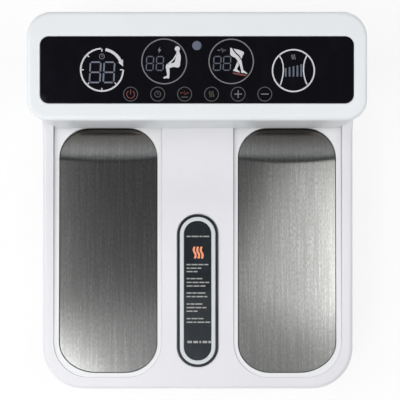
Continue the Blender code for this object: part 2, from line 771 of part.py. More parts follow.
def make_displays():
    """Digit blocks and the heat bar block, standing on the board just under the panel."""
    blocks = (
        ("time_display", TIME_DISPLAY, TIME_PLACE_SHARES),
        ("energy_display", MODE_DISPLAY, ENERGY_PLACE_SHARES),
        ("ems_display", MODE_DISPLAY, EMS_PLACE_SHARES),
        ("heat_display", HEAT_DISPLAY, HEAT_PLACE_SHARES),
    )
    for name, (width, depth), shares in blocks:
        x, along = on_panel(shares)
        block = box(name, (width, depth, DISPLAY_HEIGHT - GAP), (x, along, BOARD_TOP + GAP),
                    on_deck=True)
        display_block(block)
    x, along = on_panel((0, IR_ROW_SHARE))
    receiver = box("remote_receiver", (RECEIVER_SIZE, RECEIVER_SIZE, DISPLAY_HEIGHT - GAP),
                   (x, along, BOARD_TOP + GAP), on_deck=True)
    black_plastic(receiver)


def make_touch_springs():
    """A sleeve under each touch key, from the board to the panel."""
    for number in range(KEY_COUNT):
        x = (number - (KEY_COUNT - 1) / 2) * KEY_PITCH
        along = on_panel((0, KEY_ROW_SHARE))[1]
        bottom = BOARD_TOP + GAP
        top = BOARD_TOP + DISPLAY_HEIGHT
        inner = SPRING_RADIUS - SPRING_WALL
        profile = ((inner, top), (SPRING_RADIUS, top), (SPRING_RADIUS, bottom), (inner, bottom),
                   (inner, top))
        spring = turned(f"touch_spring_{number + 1}", profile, (x, along, 0), on_deck=True)
        bright_metal(spring)


def make_foot_plate(side):
    """Steel sheet, flat, with a ramp down at the toes."""
    plate = slab(f"foot_plate_{side}", well_outline(side, 0.0), plate_underside, plate_top,
                 rows=(RAMP_START,))
    return brushed_steel(plate)


def make_plate_gasket(side):
    """Rubber ring under the plate's edge, with a lip that stands up round it."""
    gasket = slab(f"plate_gasket_{side}", well_outline(side, GAP + GASKET_LIP),
                  lambda y: plate_underside(y) - GAP - GASKET_SHEET,
                  lambda y: bezel_top(y) - GASKET_TOP_DEPTH, rows=(RAMP_START,))
    cut(gasket, slab(f"plate_room_{side}", well_outline(side, GAP),
                     lambda y: plate_underside(y) - GAP, OVERRUN, rows=(RAMP_START,), helper=True))
    cut(gasket, slab(f"gasket_hole_{side}", well_outline(side, -BEZEL_LEDGE), -BEZEL_DEPTH,
                     OVERRUN, helper=True))
    return black_rubber(gasket)


def make_foot_bezel(side):
    """White frame round the plate, with a ledge that carries gasket and plate."""
    bezel = slab(f"foot_bezel_{side}", well_outline(side, BEZEL_RIM), -BEZEL_DEPTH, bezel_top,
                 edge=BEZEL_EDGE)
    cut(bezel, slab(f"plate_seat_{side}", well_outline(side, 2 * GAP + GASKET_LIP),
                    seat_floor, OVERRUN, rows=(RAMP_START,), helper=True))
    cut(bezel, slab(f"bezel_hole_{side}", well_outline(side, -BEZEL_LEDGE), -2 * BEZEL_DEPTH,
                    OVERRUN, helper=True))
    return white_plastic(bezel)


def heater_outline(side):
    return well_outline(side, -BEZEL_LEDGE - HEATER_MARGIN, toe_trim=TOE_RAMP_LENGTH)


def make_heater_pad(side):
    pad = slab(f"heater_pad_{side}", heater_outline(side), heater_underside,
               lambda y: plate_underside(y) - GAP)
    return heater_film(pad)


def emitter_place():
    """Place of the emitter along the deck, under the middle of the plate."""
    return (PLATE_HEEL + PLATE_TOE) / 2


def thermostat_place():
    return (PLATE_HEEL + emitter_place()) / 2


def make_support_foam(side):
    """Foam block that carries the plate on the pocket's floor, with holes for what it surrounds."""
    foam = slab(f"support_foam_{side}", well_outline(side, -BEZEL_LEDGE - GAP), -BEZEL_DEPTH,
                lambda y: heater_underside(y) - GAP, rows=(RAMP_START,))
    middle = SIDES[side] * WELL_X
    holes = (("emitter", EMITTER_RADIUS, emitter_place()),
             ("thermostat", THERMOSTAT_RADIUS, thermostat_place()))
    for label, radius, along in holes:
        cut(foam, post(f"{label}_room_{side}", radius + GAP, -2 * BEZEL_DEPTH, OVERRUN,
                       (middle, along), sides=ROUND_SIDES, on_deck=True, helper=True))
    return grey_foam(foam)


def make_emitter(side):
    """Round energy module between the pocket's floor and the heater."""
    along = emitter_place()
    top = heater_underside(along + EMITTER_RADIUS) - GAP
    bottom = -BEZEL_DEPTH
    waist = EMITTER_RADIUS - EMITTER_COLLAR
    step = bottom + EMITTER_COLLAR
    profile = ((0, top), (waist, top), (waist, step), (EMITTER_RADIUS, step),
               (EMITTER_RADIUS, bottom), (0, bottom))
    emitter = turned(f"energy_emitter_{side}", profile, (SIDES[side] * WELL_X, along, 0),
                     sides=ROUND_SIDES, on_deck=True)
    return bright_metal(emitter)


def make_thermostat(side):
    """Button thermostat against the heater's underside."""
    along = thermostat_place()
    top = heater_underside(along + THERMOSTAT_RADIUS) - GAP
    bottom = -BEZEL_DEPTH
    waist = THERMOSTAT_RADIUS - THERMOSTAT_COLLAR
    step = (top + bottom) / 2
    profile = ((0, top), (THERMOSTAT_RADIUS, top), (THERMOSTAT_RADIUS, step), (waist, step),
               (waist, bottom), (0, bottom))
    thermostat = turned(f"thermostat_{side}", profile, (SIDES[side] * WELL_X, along, 0),
                        on_deck=True)
    return bright_metal(thermostat)


def make_foot_harness(side):
    """Lead from the main board under the spine, then up through the pocket floor."""
    sign = SIDES[side]
    end_x = sign * WELL_X
    spine_x = sign * (WELL_X - PLATE_WIDTH / 2 - POCKET_REACH) / 2
    floor = TRAY_STANDOFF + TRAY_FLOOR + 3 * LEAD_RADIUS
    middle_y = main_board_middle()[1]
    board_front = middle_y - MAIN_BOARD[1] / 2
    lead_z = MAIN_BOARD_TOP + GAP + LEAD_RADIUS
    start = Vector((spine_x, board_front + BOARD_POST_INSET / 2, lead_z))
    outlet = deck_point(end_x, emitter_place(), -BEZEL_DEPTH - GAP)
    turn_y = outlet.y
    span = abs(end_x - spine_x)
    rise = outlet.z - floor
    points = [
        start,
        Vector((spine_x, board_front - BOARD_POST_INSET, lead_z)),
        Vector((spine_x, (board_front + turn_y) / 2, floor)),
        Vector((spine_x, turn_y + span / 3, floor)),
        Vector((spine_x + sign * span / 3, turn_y, floor)),
        Vector((end_x - sign * span / 6, turn_y, floor)),
        Vector((end_x - sign * LEAD_RADIUS, turn_y, floor + rise / 3)),
        Vector((end_x, turn_y, floor + rise * 2 / 3)),
        outlet,
    ]
    return black_rubber(tube(f"foot_harness_{side}", points, LEAD_RADIUS))


def badge_outline(grow):
    width = BADGE_WIDTH + 2 * grow
    length = BADGE_LENGTH + 2 * grow
    middle = PLATE_HEEL - HEEL_MARGIN + BADGE_HEEL_MARGIN + BADGE_LENGTH / 2
    return centred_outline(width, length, width / 2 - GAP, (0, middle))


def make_badge():
    """Stadium-shaped frame in the spine, a pale ring in it and a gloss insert in the ring."""
    frame = slab("badge_frame", badge_outline(0.0), -BADGE_RECESS + GAP, BADGE_RISE - GAP,
                 edge=BADGE_EDGE)
    floor = BADGE_FLOOR - BADGE_RECESS + GAP
    ring_grow = -BADGE_RIM
    lens_grow = -BADGE_RIM - BADGE_BAND
    cut(frame, slab("ring_seat", badge_outline(ring_grow + GAP), floor, OVERRUN, helper=True))
    black_gloss(frame)
    ring = slab("badge_ring", badge_outline(ring_grow), floor + GAP, BADGE_RISE, edge=BADGE_EDGE)
    cut(ring, slab("lens_seat", badge_outline(lens_grow + GAP), -OVERRUN, OVERRUN, helper=True))
    pale_trim(ring)
    lens = slab("badge_insert", badge_outline(lens_grow), floor + GAP, BADGE_RISE - GAP,
                edge=BADGE_EDGE)
    black_gloss(lens)


def make_main_board():
    x, y = main_board_middle()
    board = box("main_board", (*MAIN_BOARD, BOARD_THICKNESS), (x, y, MAIN_BOARD_BOTTOM))
    for number, spot in enumerate(main_board_holes()):
        cut(board, post(f"main_hole_{number}", STANDOFF_PIN_RADIUS + GAP,
                        MAIN_BOARD_BOTTOM - OVERRUN, MAIN_BOARD_TOP + OVERRUN, spot, helper=True))
    return circuit_board(board)


def on_main_board(shares):
    x, y = main_board_middle()
    return (x + shares[0] * MAIN_BOARD[0], y + shares[1] * MAIN_BOARD[1], MAIN_BOARD_TOP + GAP)


def make_transformer():
    """Laminated core round a wound bobbin."""
    spot = Vector(on_main_board(TRANSFORMER_PLACE_SHARES))
    core = box("transformer", TRANSFORMER, spot)
    raise_winding = Vector((0, 0, (TRANSFORMER[2] - WINDING[2]) / 2))
    join(core, box("winding", WINDING, spot + raise_winding, helper=True))
    return bright_metal(core)


def make_capacitor():
    spot = on_main_board(CAPACITOR_PLACE_SHARES)
    top = CAPACITOR_HEIGHT
    inner = CAPACITOR_RADIUS - CAPACITOR_RIM
    profile = ((0, top), (inner, top), (CAPACITOR_RADIUS, top - CAPACITOR_RIM),
               (CAPACITOR_RADIUS, 0), (0, 0))
    return black_plastic(turned("filter_capacitor", profile, spot, sides=ROUND_SIDES))


def make_heatsink():
    """Comb of upright fins."""
    width, depth, height = HEATSINK
    spot = on_main_board(HEATSINK_PLACE_SHARES)
    sink = box("heatsink", HEATSINK, spot)
    pitch = width / (HEATSINK_FINS - 0.5)
    for number in range(HEATSINK_FINS - 1):
        x = spot[0] - width / 2 + pitch * (number + 0.75)
        size = (pitch / 2, depth, height + OVERRUN)
        cut(sink, box(f"fin_gap_{number}", size, (x, spot[1] + HEATSINK_BASE, spot[2] - OVERRUN / 2),
                      helper=True))
    return bright_metal(sink)


def ribbon_middle():
    """Place along the deck where the ribbon passes through it."""
    return PANEL_MID


def make_ribbon_cable():
    """Flat strip from the display board down through the deck to the main board."""
    x = RIBBON_PLACE_SHARE * PANEL_HALF
    top = deck_point(x, ribbon_middle(), BOARD_TOP - BOARD_THICKNESS - GAP)
    slot = deck_point(x, ribbon_middle(), -DECK_WALL / 2)
    low = Vector((x, slot.y, MAIN_BOARD_TOP + GAP))
    steps = 12
    bm = bmesh.new()
    line = []
    for step in range(steps + 1):
        share = step / steps
        spot = top.lerp(low, share)
        sway = RIBBON_SWAY * sin(2 * pi * share)
        line.append(bm.verts.new((spot.x - RIBBON_WIDTH / 2, spot.y + sway, spot.z)))
    for first, second in zip(line, line[1:]):
        bm.edges.new((first, second))
    swept = bmesh.ops.extrude_edge_only(bm, edges=bm.edges[:])["geom"]
    moved = [item for item in swept if isinstance(item, bmesh.types.BMVert)]
    bmesh.ops.translate(bm, vec=(RIBBON_WIDTH, 0, 0), verts=moved)
    ribbon = place("ribbon_cable", mesh_from(bm, "ribbon_cable"), False, False)
    thick = ribbon.modifiers.new("thickness", "SOLIDIFY")
    thick.thickness = RIBBON_THICKNESS
    thick.offset = 0.0
    return display_block(ribbon)


def wall_block(name, size, depth, front, x, helper=False):
    """Box in the rear wall, its outer face at front and reaching inwards by depth."""
    return box(name, (size[0], depth, size[1]), (x, front - depth / 2,
               REAR_AXIS_HEIGHT - size[1] / 2), helper=helper)


def make_mains_inlet():
    """Three-pin socket with a flange outside the wall and a deep cavity."""
    face = REAR_Y + GAP + FLANGE_THICKNESS
    inlet = wall_block("mains_inlet", INLET_FLANGE, FLANGE_THICKNESS, face, INLET_X)
    body_depth = face + INLET_BODY_DEPTH - REAR_Y - FLANGE_THICKNESS / 2
    join(inlet, wall_block("inlet_body", INLET_BODY, body_depth, face - FLANGE_THICKNESS / 2,
                           INLET_X, helper=True))
    half_x, half_z = (value / 2 for value in INLET_CAVITY)
    bevelled = half_x - INLET_CHAMFER
    outline = [(-half_x, -half_z), (half_x, -half_z), (half_x, half_z - INLET_CHAMFER),
               (bevelled, half_z), (-bevelled, half_z), (-half_x, half_z - INLET_CHAMFER)]
    cavity = slab("inlet_cavity", outline, 0, INLET_CAVITY_DEPTH + OVERRUN, on_deck=False,
                  helper=True)
    cavity.location = (INLET_X, face - INLET_CAVITY_DEPTH, REAR_AXIS_HEIGHT)
    cavity.rotation_euler = (-pi / 2, 0, 0)
    cut(inlet, cavity)
    pin_width, pin_height, pin_reach = INLET_PIN
    root = FLANGE_THICKNESS
    for number, shift in enumerate((-1, 0, 1)):
        raised = INLET_PIN_RAISE if shift == 0 else -INLET_PIN_RAISE / 2
        size = (pin_width, pin_reach + root, pin_height)
        spot = (INLET_X + shift * INLET_PIN_SPREAD,
                face - INLET_CAVITY_DEPTH + (pin_reach - root) / 2,
                REAR_AXIS_HEIGHT + raised - pin_height / 2)
        join(inlet, box(f"inlet_pin_{number}", size, spot, helper=True))
    return black_plastic(inlet)


def rocker_axis():
    return (SWITCH_X, REAR_Y - ROCKER_AXIS_DEPTH, REAR_AXIS_HEIGHT)


def cross_pin(name, radius, length, helper=True):
    """Cylinder along X through the rocker's axis."""
    bm = bmesh.new()
    bmesh.ops.create_cone(bm, cap_ends=True, segments=POST_SIDES, radius1=radius, radius2=radius,
                          depth=length)
    made = place(name, mesh_from(bm, name), False, helper)
    made.rotation_euler = (0, pi / 2, 0)
    return made


def make_switch_frame():
    """Snap-in frame with an open cavity and two bearing holes for the rocker's pins."""
    face = REAR_Y + GAP + FLANGE_THICKNESS
    frame = wall_block("switch_frame", SWITCH_FLANGE, FLANGE_THICKNESS, face, SWITCH_X)
    body_depth = SWITCH_DEPTH + FLANGE_THICKNESS / 2
    join(frame, wall_block("switch_body", SWITCH_BODY, body_depth, face - FLANGE_THICKNESS / 2,
                           SWITCH_X, helper=True))
    room = (SWITCH_BODY[0] - 2 * SWITCH_WALL, SWITCH_BODY[1] - 2 * SWITCH_END_WALL)
    depth = SWITCH_DEPTH - SWITCH_BACK
    cut(frame, wall_block("switch_room", room, depth + OVERRUN, face + OVERRUN, SWITCH_X,
                          helper=True))
    bearing = cross_pin("switch_bearing", ROCKER_PIN_RADIUS + GAP, SWITCH_BODY[0] + OVERRUN)
    bearing.location = rocker_axis()
    cut(frame, bearing)
    return black_plastic(frame)


def make_power_rocker():
    """Rocker with a shallow V across its face, tilted to off; its origin is on its pins' axis."""
    width = SWITCH_BODY[0] - 2 * SWITCH_WALL - 2 * ROCKER_SIDE_GAP
    half = ROCKER_LENGTH / 2
    outline = [(-ROCKER_ROOT, -half), (0, -half), (ROCKER_TIP, -half), (ROCKER_VALLEY, 0),
               (ROCKER_TIP, half), (0, half), (-ROCKER_ROOT, half)]
    bm = bmesh.new()
    bm.faces.new([bm.verts.new((-width / 2, y, z)) for y, z in outline])
    swept = bmesh.ops.extrude_face_region(bm, geom=bm.faces[:])["geom"]
    moved = [item for item in swept if isinstance(item, bmesh.types.BMVert)]
    bmesh.ops.translate(bm, vec=(width, 0, 0), verts=moved)
    rocker = place("power_rocker", mesh_from(bm, "power_rocker"), False, False)
    rocker.location = rocker_axis()
    rocker.rotation_euler = (-ROCKER_TILT, 0, 0)
    pins = cross_pin("rocker_pins", ROCKER_PIN_RADIUS,
                     width + 2 * (ROCKER_SIDE_GAP + ROCKER_PIN_REACH))
    pins.location = rocker_axis()
    join(rocker, pins)
    return black_gloss(rocker)


def make_mains_lead():
    """Lead from the back of the inlet down to the main board."""
    back = REAR_Y - INLET_BODY_DEPTH - GAP
    start = Vector((INLET_X, back, REAR_AXIS_HEIGHT))
    board_x, board_y = main_board_middle()
    end = Vector((board_x + MAIN_BOARD[0] / 2 - 2 * BOARD_POST_INSET, board_y,
                  MAIN_BOARD_TOP + GAP))
    drop = start.z - end.z
    points = [
        start,
        start + Vector((0, -3 * LEAD_RADIUS, 0)),
        start.lerp(end, 1 / 3) + Vector((0, 0, drop / 6)),
        end + Vector((0, 0, drop / 2)),
        end + Vector((0, 0, 3 * LEAD_RADIUS)),
        end,
    ]
    return black_rubber(tube("mains_lead", points, LEAD_RADIUS))


def make_rubber_feet():
    """Push-in feet, held by a barb above the tray's floor."""
    floor_top = TRAY_STANDOFF + TRAY_FLOOR + GAP
    pad_top = TRAY_STANDOFF - GAP
    barb_top = floor_top + FOOT_BARB_HEIGHT
    profile = (
        (0, barb_top), (FOOT_STEM_RADIUS, barb_top), (FOOT_BARB_RADIUS, floor_top),
        (FOOT_STEM_RADIUS, floor_top), (FOOT_STEM_RADIUS, pad_top), (FOOT_RADIUS, pad_top),
        (FOOT_RADIUS, FOOT_EDGE), (FOOT_RADIUS - FOOT_EDGE, 0), (0, 0),
    )
    for number, (x, y) in enumerate(foot_places()):
        black_rubber(turned(f"rubber_foot_{number + 1}", profile, (x, y, 0), sides=16))


def screw_profile(head_bottom, tip):
    """Pan head below, shank above, both given by their heights."""
    taper = SCREW_RADIUS / 2
    return ((0, tip), (taper, tip), (SCREW_RADIUS, tip - SCREW_RADIUS),
            (SCREW_RADIUS, head_bottom + SCREW_HEAD_HEIGHT),
            (SCREW_HEAD_RADIUS, head_bottom + SCREW_HEAD_HEIGHT),
            (SCREW_HEAD_RADIUS, head_bottom), (0, head_bottom))


def make_case_screws():
    head_bottom = COUNTERBORE_TOP - GAP - SCREW_HEAD_HEIGHT
    for number, (x, y) in enumerate(case_screw_places()):
        screw = turned(f"case_screw_{number + 1}", screw_profile(head_bottom, case_screw_tip()),
                       (x, y, 0))
        bright_metal(screw)


def make_console_screws():
    head_bottom = -DECK_WALL - GAP - SCREW_HEAD_HEIGHT
    tip = CONSOLE_SCREW_REACH - GAP
    for number, (x, along) in enumerate(console_post_places()):
        screw = turned(f"console_screw_{number + 1}", screw_profile(head_bottom, tip),
                       (x, along, 0), on_deck=True)
        bright_metal(screw)


def build():
    make_bottom_tray()
    make_base_cover()
    make_console_housing()
    make_control_panel()
    make_ir_window()
    make_display_board()
    make_displays()
    make_touch_springs()
    for side in SIDES:
        make_foot_plate(side)
        make_plate_gasket(side)
        make_foot_bezel(side)
        make_heater_pad(side)
        make_support_foam(side)
        make_emitter(side)
        make_thermostat(side)
        make_foot_harness(side)
    make_badge()
    make_main_board()
    make_transformer()
    make_capacitor()
    make_heatsink()
    make_ribbon_cable()
    make_mains_inlet()
    make_switch_frame()
    make_power_rocker()
    make_mains_lead()
    make_rubber_feet()
    make_case_screws()
    make_console_screws()


build()
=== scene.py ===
"""Looks of the foot massager: fine shells, steel foot plates, a printed panel and a plain studio.

Metres, +Z up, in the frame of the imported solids. The console stands at +Y, the heels at -Y.
Places on the sloping deck are given as x, a distance along the deck and a distance out of it.
Printed marks are placed in pixels of the photograph, from its upper left corner.
"""

from math import atan2, cos, pi, radians, sin, tan

import bmesh
import bpy
import numpy as np
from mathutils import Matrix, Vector


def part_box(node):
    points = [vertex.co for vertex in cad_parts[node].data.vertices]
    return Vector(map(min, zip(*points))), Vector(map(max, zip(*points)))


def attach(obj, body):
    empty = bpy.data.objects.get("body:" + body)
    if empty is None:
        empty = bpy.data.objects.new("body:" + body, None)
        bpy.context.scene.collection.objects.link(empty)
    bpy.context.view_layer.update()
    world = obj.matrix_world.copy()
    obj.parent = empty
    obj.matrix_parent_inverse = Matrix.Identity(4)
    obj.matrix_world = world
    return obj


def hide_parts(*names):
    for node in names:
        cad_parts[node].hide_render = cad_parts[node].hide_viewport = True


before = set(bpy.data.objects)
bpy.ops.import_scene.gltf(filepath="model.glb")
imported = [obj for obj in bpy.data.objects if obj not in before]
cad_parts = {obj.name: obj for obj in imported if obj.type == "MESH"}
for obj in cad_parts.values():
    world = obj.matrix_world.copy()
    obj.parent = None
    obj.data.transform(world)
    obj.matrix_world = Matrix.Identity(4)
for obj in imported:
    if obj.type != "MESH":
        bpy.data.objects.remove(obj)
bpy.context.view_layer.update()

# Clearances and fineness
GAP = 0.0003
OVERRUN = 0.004
WELD = 0.00002
CROSSING = 1e-14
CORNER_STEPS = 18
FILLET_STEPS = 6
EDGE_STEPS = 4
LIP_STEPS = 3
ROUND_SIDES = 48
SHARP_ANGLE = radians(32)

# Base cover
HEEL_Y = -0.200
REAR_Y = 0.197
HALF_WIDTH = 0.173
HEEL_HEIGHT = 0.048
DECK_SLOPE = radians(3.2)
DECK_MID_HEIGHT = HEEL_HEIGHT - HEEL_Y * tan(DECK_SLOPE)
HEEL_CORNER = 0.046
REAR_CORNER = 0.026
DECK_FILLET = 0.005
DECK_FILLET_LEAST = 0.0004
DECK_FILLET_RUN_OUT = 0.012
DECK_FILLET_ROWS = 3
COVER_WALL = 0.0028
COVER_FOOT_EDGE = 0.0005
HOLLOW_DEPTH = 0.0175
PARTING = 0.024

# Bottom tray
TRAY_STANDOFF = 0.004
TRAY_FLOOR = 0.0025
TRAY_STEP = 0.0012
TRAY_LEAN = 0.0030
TRAY_EDGE = 0.0025
TONGUE_RISE = 0.0025
TONGUE_WALL = 0.0018
SCREW_WELL_MOUTH = 0.0044
SCREW_WELL_RADIUS = 0.0036
SCREW_WELL_EDGE = 0.0010
SCREW_WELL_TOP = 0.0140
DIMPLE_MOUTH = 0.0112
DIMPLE_RADIUS = 0.0106
DIMPLE_DEPTH = 0.0006
VENT_COUNT = 9
VENT_PITCH = 0.010
VENT_HALF_WIDTH = 0.0015
VENT_HALF_LENGTH = 0.018
VENT_CORNER = 0.00149

# Console
CONSOLE_HEIGHT = 0.075
CONSOLE_DEPTH = 0.1073
CONSOLE_OVERHANG = 0.003
CONSOLE_LEAN = 0.002
CONSOLE_BACK = REAR_Y / cos(DECK_SLOPE)
CONSOLE_FRONT = CONSOLE_BACK - CONSOLE_DEPTH
CONSOLE_TOP_FRONT = CONSOLE_FRONT + CONSOLE_LEAN
CONSOLE_TOP_BACK = (REAR_Y + CONSOLE_OVERHANG + CONSOLE_HEIGHT * sin(DECK_SLOPE)) / cos(DECK_SLOPE)
CONSOLE_TOP_HALF = HALF_WIDTH + CONSOLE_OVERHANG
CONSOLE_CORNER = 0.022
CONSOLE_FILLET = 0.005
CONSOLE_FILLET_STEPS = 10
CONSOLE_FOOT_EDGE = 0.0004
CONSOLE_WALL_SHARES = (0.25, 0.5, 0.75)
CONSOLE_WALL = 0.0028
CONSOLE_TOP_WALL = 0.0050
FILLET_END = (CONSOLE_FRONT + CONSOLE_CORNER / 3) * cos(DECK_SLOPE)

# Panel
PANEL_SIDE_MARGIN = 0.0145
PANEL_FRONT_MARGIN = 0.0175
PANEL_BACK_MARGIN = 0.0261
PANEL_HALF = CONSOLE_TOP_HALF - PANEL_SIDE_MARGIN
PANEL_FRONT = CONSOLE_TOP_FRONT + PANEL_FRONT_MARGIN
PANEL_BACK = CONSOLE_TOP_BACK - PANEL_BACK_MARGIN
PANEL_CORNER = 0.0092
PANEL_THICKNESS = 0.0020
PANEL_EDGE = 0.0004
PANEL_LEDGE = 0.0050
PANEL_SEAT_EDGE = 0.0007
LENS_RADIUS = 0.0048
LENS_PROFILE = ((0, 0.0004), (0.0003, 0.0001), (0.4 * LENS_RADIUS, 0))

# Foot wells
SIDES = {"left": -1, "right": 1}
PLATE_HALF = 0.054
PLATE_CORNER = 0.0334
HEEL_INNER_CORNER = (0.0355, 0.0320)
HEEL_OUTER_CORNER = (0.0410, 0.0335)
PLATE_THICKNESS = 0.0010
PLATE_INSET = 0.0012
SIDE_MARGIN = 0.0193
HEEL_MARGIN = 0.0186
PLATE_TOE = CONSOLE_FRONT
PLATE_HEEL = HEEL_Y / cos(DECK_SLOPE) + HEEL_MARGIN
WELL_X = HALF_WIDTH - SIDE_MARGIN - PLATE_HALF
RAMP_LENGTH = 0.0335
RAMP_DROP = 0.0066
RAMP_START = PLATE_TOE - RAMP_LENGTH
RAMP_BOW = 0.0040
RAMP_BEND = 0.0012
RAMP_FIRST_SHARE = 0.82
RAMP_ROW = 0.0015
RAMP_ROWS = range(-6, 8)
RAMP_LAST_ROW = RAMP_START + 0.020
PLATE_COLUMNS = 8
# Painted shade on the steel: the toe ramp darkens and warms towards the toes, a painted dark
# reflection
PAINTED_RAMP_SHADE_REACH = (RAMP_START + 0.002, PLATE_TOE - 0.006)
# Painted shadow on the steel: its last few millimetres at the toe end, under the console's front
PAINTED_TOE_SHADOW_REACH = (PLATE_TOE - 0.0055, PLATE_TOE - 0.0015)
HEEL_SINK = 0.0008
TOE_SINK = 0.0045
BEZEL_RIM = 0.0057
BEZEL_OUTER_RIM = 0.0066
BEZEL_LEDGE = 0.0040
BEZEL_DEPTH = 0.0152
BEZEL_TOE_CORNER = 0.0030
BEZEL_INNER_EDGE = 0.0004
LIP = 0.0003
LIP_EDGE = 0.4 * LIP
LIP_DEPTH = 0.0009
LIP_FOLLOW = 0.85
GASKET_SHEET = 0.0008

# Seam between deck and bezel: sizes at the heel, and past the stretch where they change
SEAM_EDGE = (0.00010, 0.00045)
SEAM_GAP = (0.00005, 0.00030)
SEAM_CHANGE = 0.120

# Badge
BADGE_HALF = 0.02265
BADGE_LENGTH = 0.1697
BADGE_HEEL_MARGIN = 0.0247
BADGE_MIDDLE = HEEL_Y / cos(DECK_SLOPE) + BADGE_HEEL_MARGIN + BADGE_LENGTH / 2
BADGE_RECESS = 0.0015
BADGE_RECESS_EDGE = 0.0004
BADGE_RISE = 0.0018
BADGE_FLOOR = 0.0012
BADGE_RIM = 0.0029
BADGE_RIM_EDGES = (0.0007, 0.0003)
BADGE_BAND = 0.0047
BADGE_BAND_EDGE = 0.0006
BADGE_WINDOW_EDGE = 0.0004

# Mains inlet and switch in the rear wall
REAR_AXIS_HEIGHT = 0.0435
FLANGE = 0.0015
OPENING_REACH = 0.006
OPENING_CORNER = 0.0005
INLET_X = 0.062
INLET_BODY = (0.0133, 0.0096)
INLET_BODY_CORNER = 0.0010
INLET_DEPTH = 0.0220
INLET_FLANGE = (0.0155, 0.0120)
INLET_FLANGE_CORNER = 0.0030
INLET_FLANGE_EDGE = 0.0007
CAVITY = (0.0120, 0.0082)
CAVITY_CORNERS = (0.0045, 0.0008)
CAVITY_EDGE = 0.0005
CAVITY_DEPTH = 0.0170
BLADE = (0.0010, 0.0020)
BLADE_CORNER = 0.0003
BLADE_PLACES = ((-0.0070, -0.00125), (0.0, 0.0025), (0.0070, -0.00125))
BLADE_PROFILE = ((0, -0.0172), (0, -0.0065), (-0.0002, -0.0055), (-0.0006, -0.0050))
SWITCH_X = 0.112
SWITCH_BODY = (0.0065, 0.0095)
SWITCH_BODY_CORNER = 0.0006
SWITCH_DEPTH = 0.0130
SWITCH_FLANGE = (0.0075, 0.0105)
SWITCH_FLANGE_CORNER = 0.0012
SWITCH_FLANGE_EDGE = 0.0006
SWITCH_ROOM = (0.0054, 0.0088)
SWITCH_ROOM_CORNER = 0.0005
SWITCH_ROOM_EDGE = 0.0003
SWITCH_ROOM_DEPTH = 0.0110
ROCKER_TILT = radians(7.0)
ROCKER_AXIS_DEPTH = 0.0008
ROCKER_TIP = 0.0026
ROCKER_VALLEY = 0.0015
ROCKER_ROOT = -0.0030
ROCKER_REACH = 0.0081
ROCKER_TAPER = 0.001
ROCKER_HALF_WIDTH = 0.0050
ROCKER_EDGE = 0.0005
ROCKER_EDGE_SHARE = 0.3
ROCKER_SHOULDER_SHARE = 0.3
ROCKER_CURVE_SHARE = 0.35
ROCKER_CURVE_STEPS = 12
ROCKER_MARK_REACH = 0.0013
ROCKER_MARK_LINE = 0.0004
ROCKER_MARK_LIFT = 0.00002
ROCKER_MARK_PLACE_SHARE = 0.52
ROCKER_MARK_LEVEL_SHARE = 0.46

# Feet and case screws: radii, with heights over the tray's underside, floor, head and tip
RUBBER_FEET = [f"rubber_foot_{number}" for number in range(1, 5)]
CASE_SCREWS = [f"case_screw_{number}" for number in range(1, 7)]
FOOT_STUD_PROFILE = ((0.0042, 0.0045), (0.0030, 0.0030), (0.0030, -GAP), (0.0097, -GAP),
                     (0.0100, -GAP - 0.0003))
FOOT_TREAD_PROFILE = ((0.0100, 0.0012), (0.0097, 0.0004), (0.0090, 0.0), (0.0076, 0.0),
                      (0.0072, 0.0007), (0.0064, 0.0007), (0.0060, 0.0), (0.0044, 0.0),
                      (0.0040, 0.0007), (0.0030, 0.0007), (0.0026, 0.0))
SCREW_HEAD_PROFILE = ((0.0012, 0.0), (0.0024, 0.0001), (0.0030, 0.0005), (0.0033, 0.0012),
                      (0.0033, 0.0023), (0.0031, 0.0024), (0.0016, 0.0026))
SCREW_TIP_PROFILE = ((0.0016, -0.0020), (0.0008, 0.0))
SCREW_SIDES = 32
CROSS_HALF = (0.0018, 0.00035)
CROSS_DEPTH = 0.0012
CROSS_OVERRUN = 0.0005
CROSS_CORNER = 0.0001

# Printed marks: their thickness in metres, the rest in pixels of the photograph
PRINT = 0.00006

# Fineness of round marks: sides of a full round, and steps along a part of one
DISC_SIDES = 20
RING_SIDES = 64
CLOCK_SIDES = 24
TIME_RING_STEPS = 60
TIME_ARROW_STEPS = 16
POWER_STEPS = 24

# Glyph shapes: points and lengths as shares of the glyph's reach
CLOCK_HANDS = (0.65, 0.5)
PULSE_SHAPE = ((-1, 0), (-0.4, 0), (-0.15, -0.75), (0.15, 0.75), (0.4, 0), (1, 0))
PULSE_HEIGHT = 0.7
SPARK_SHAPE = ((0.25, -1), (-0.55, 0.15), (-0.05, 0.15), (-0.25, 1), (0.55, -0.2), (0.05, -0.2))
WAVE_SHIFTS = (-0.6, 0, 0.6)
WAVE_SWING = 0.18
WAVE_POINTS = 9

# Rings, discs and glyphs: middle, radius or reach, and line width
TIME_MIDDLE = (101.9, 69.8)
TIME_RING = (TIME_MIDDLE, 21.2, (90, 358), 1.6)
TIME_ARROW = (TIME_MIDDLE, 20.5, (10, 66), 2.9)
TIME_GLYPH = ((101.9, 56.4), 2.5, 0.6)
ENERGY_RING = ((164.2, 61.4), 22.4, 1.1)
ENERGY_GLYPH = ((159.4, 50.2), 3.5)
SITTER_HEAD = ((177.3, 48.8), 2.6)
PULSE_RING = ((231.2, 61.4), 22.2, 1.1)
PULSE_GLYPH = ((221.8, 50.2), 4.4, 0.7)
HEAT_RING = ((293.4, 70.6), 20.9, 1.45)
HEAT_GLYPH = ((293.4, 57.0), 2.4, 0.65)
BADGE_WAVES = ((198.2, 252.6), 5.8, 2.0)

# Figures: upper left corners, size and line width
DIGIT_LEAN = 0.05
DIGIT_GAP_SHARE = 0.35
TIME_FIGURES = (((89.2, 61.4), (103.0, 61.4)), (11.9, 21.8), 1.5)
ENERGY_FIGURES = (((145.9, 56.0), (155.9, 56.0)), (8.0, 14.9), 1.15)
PULSE_FIGURES = (((213.1, 55.9), (222.9, 55.9)), (8.2, 14.9), 1.15)

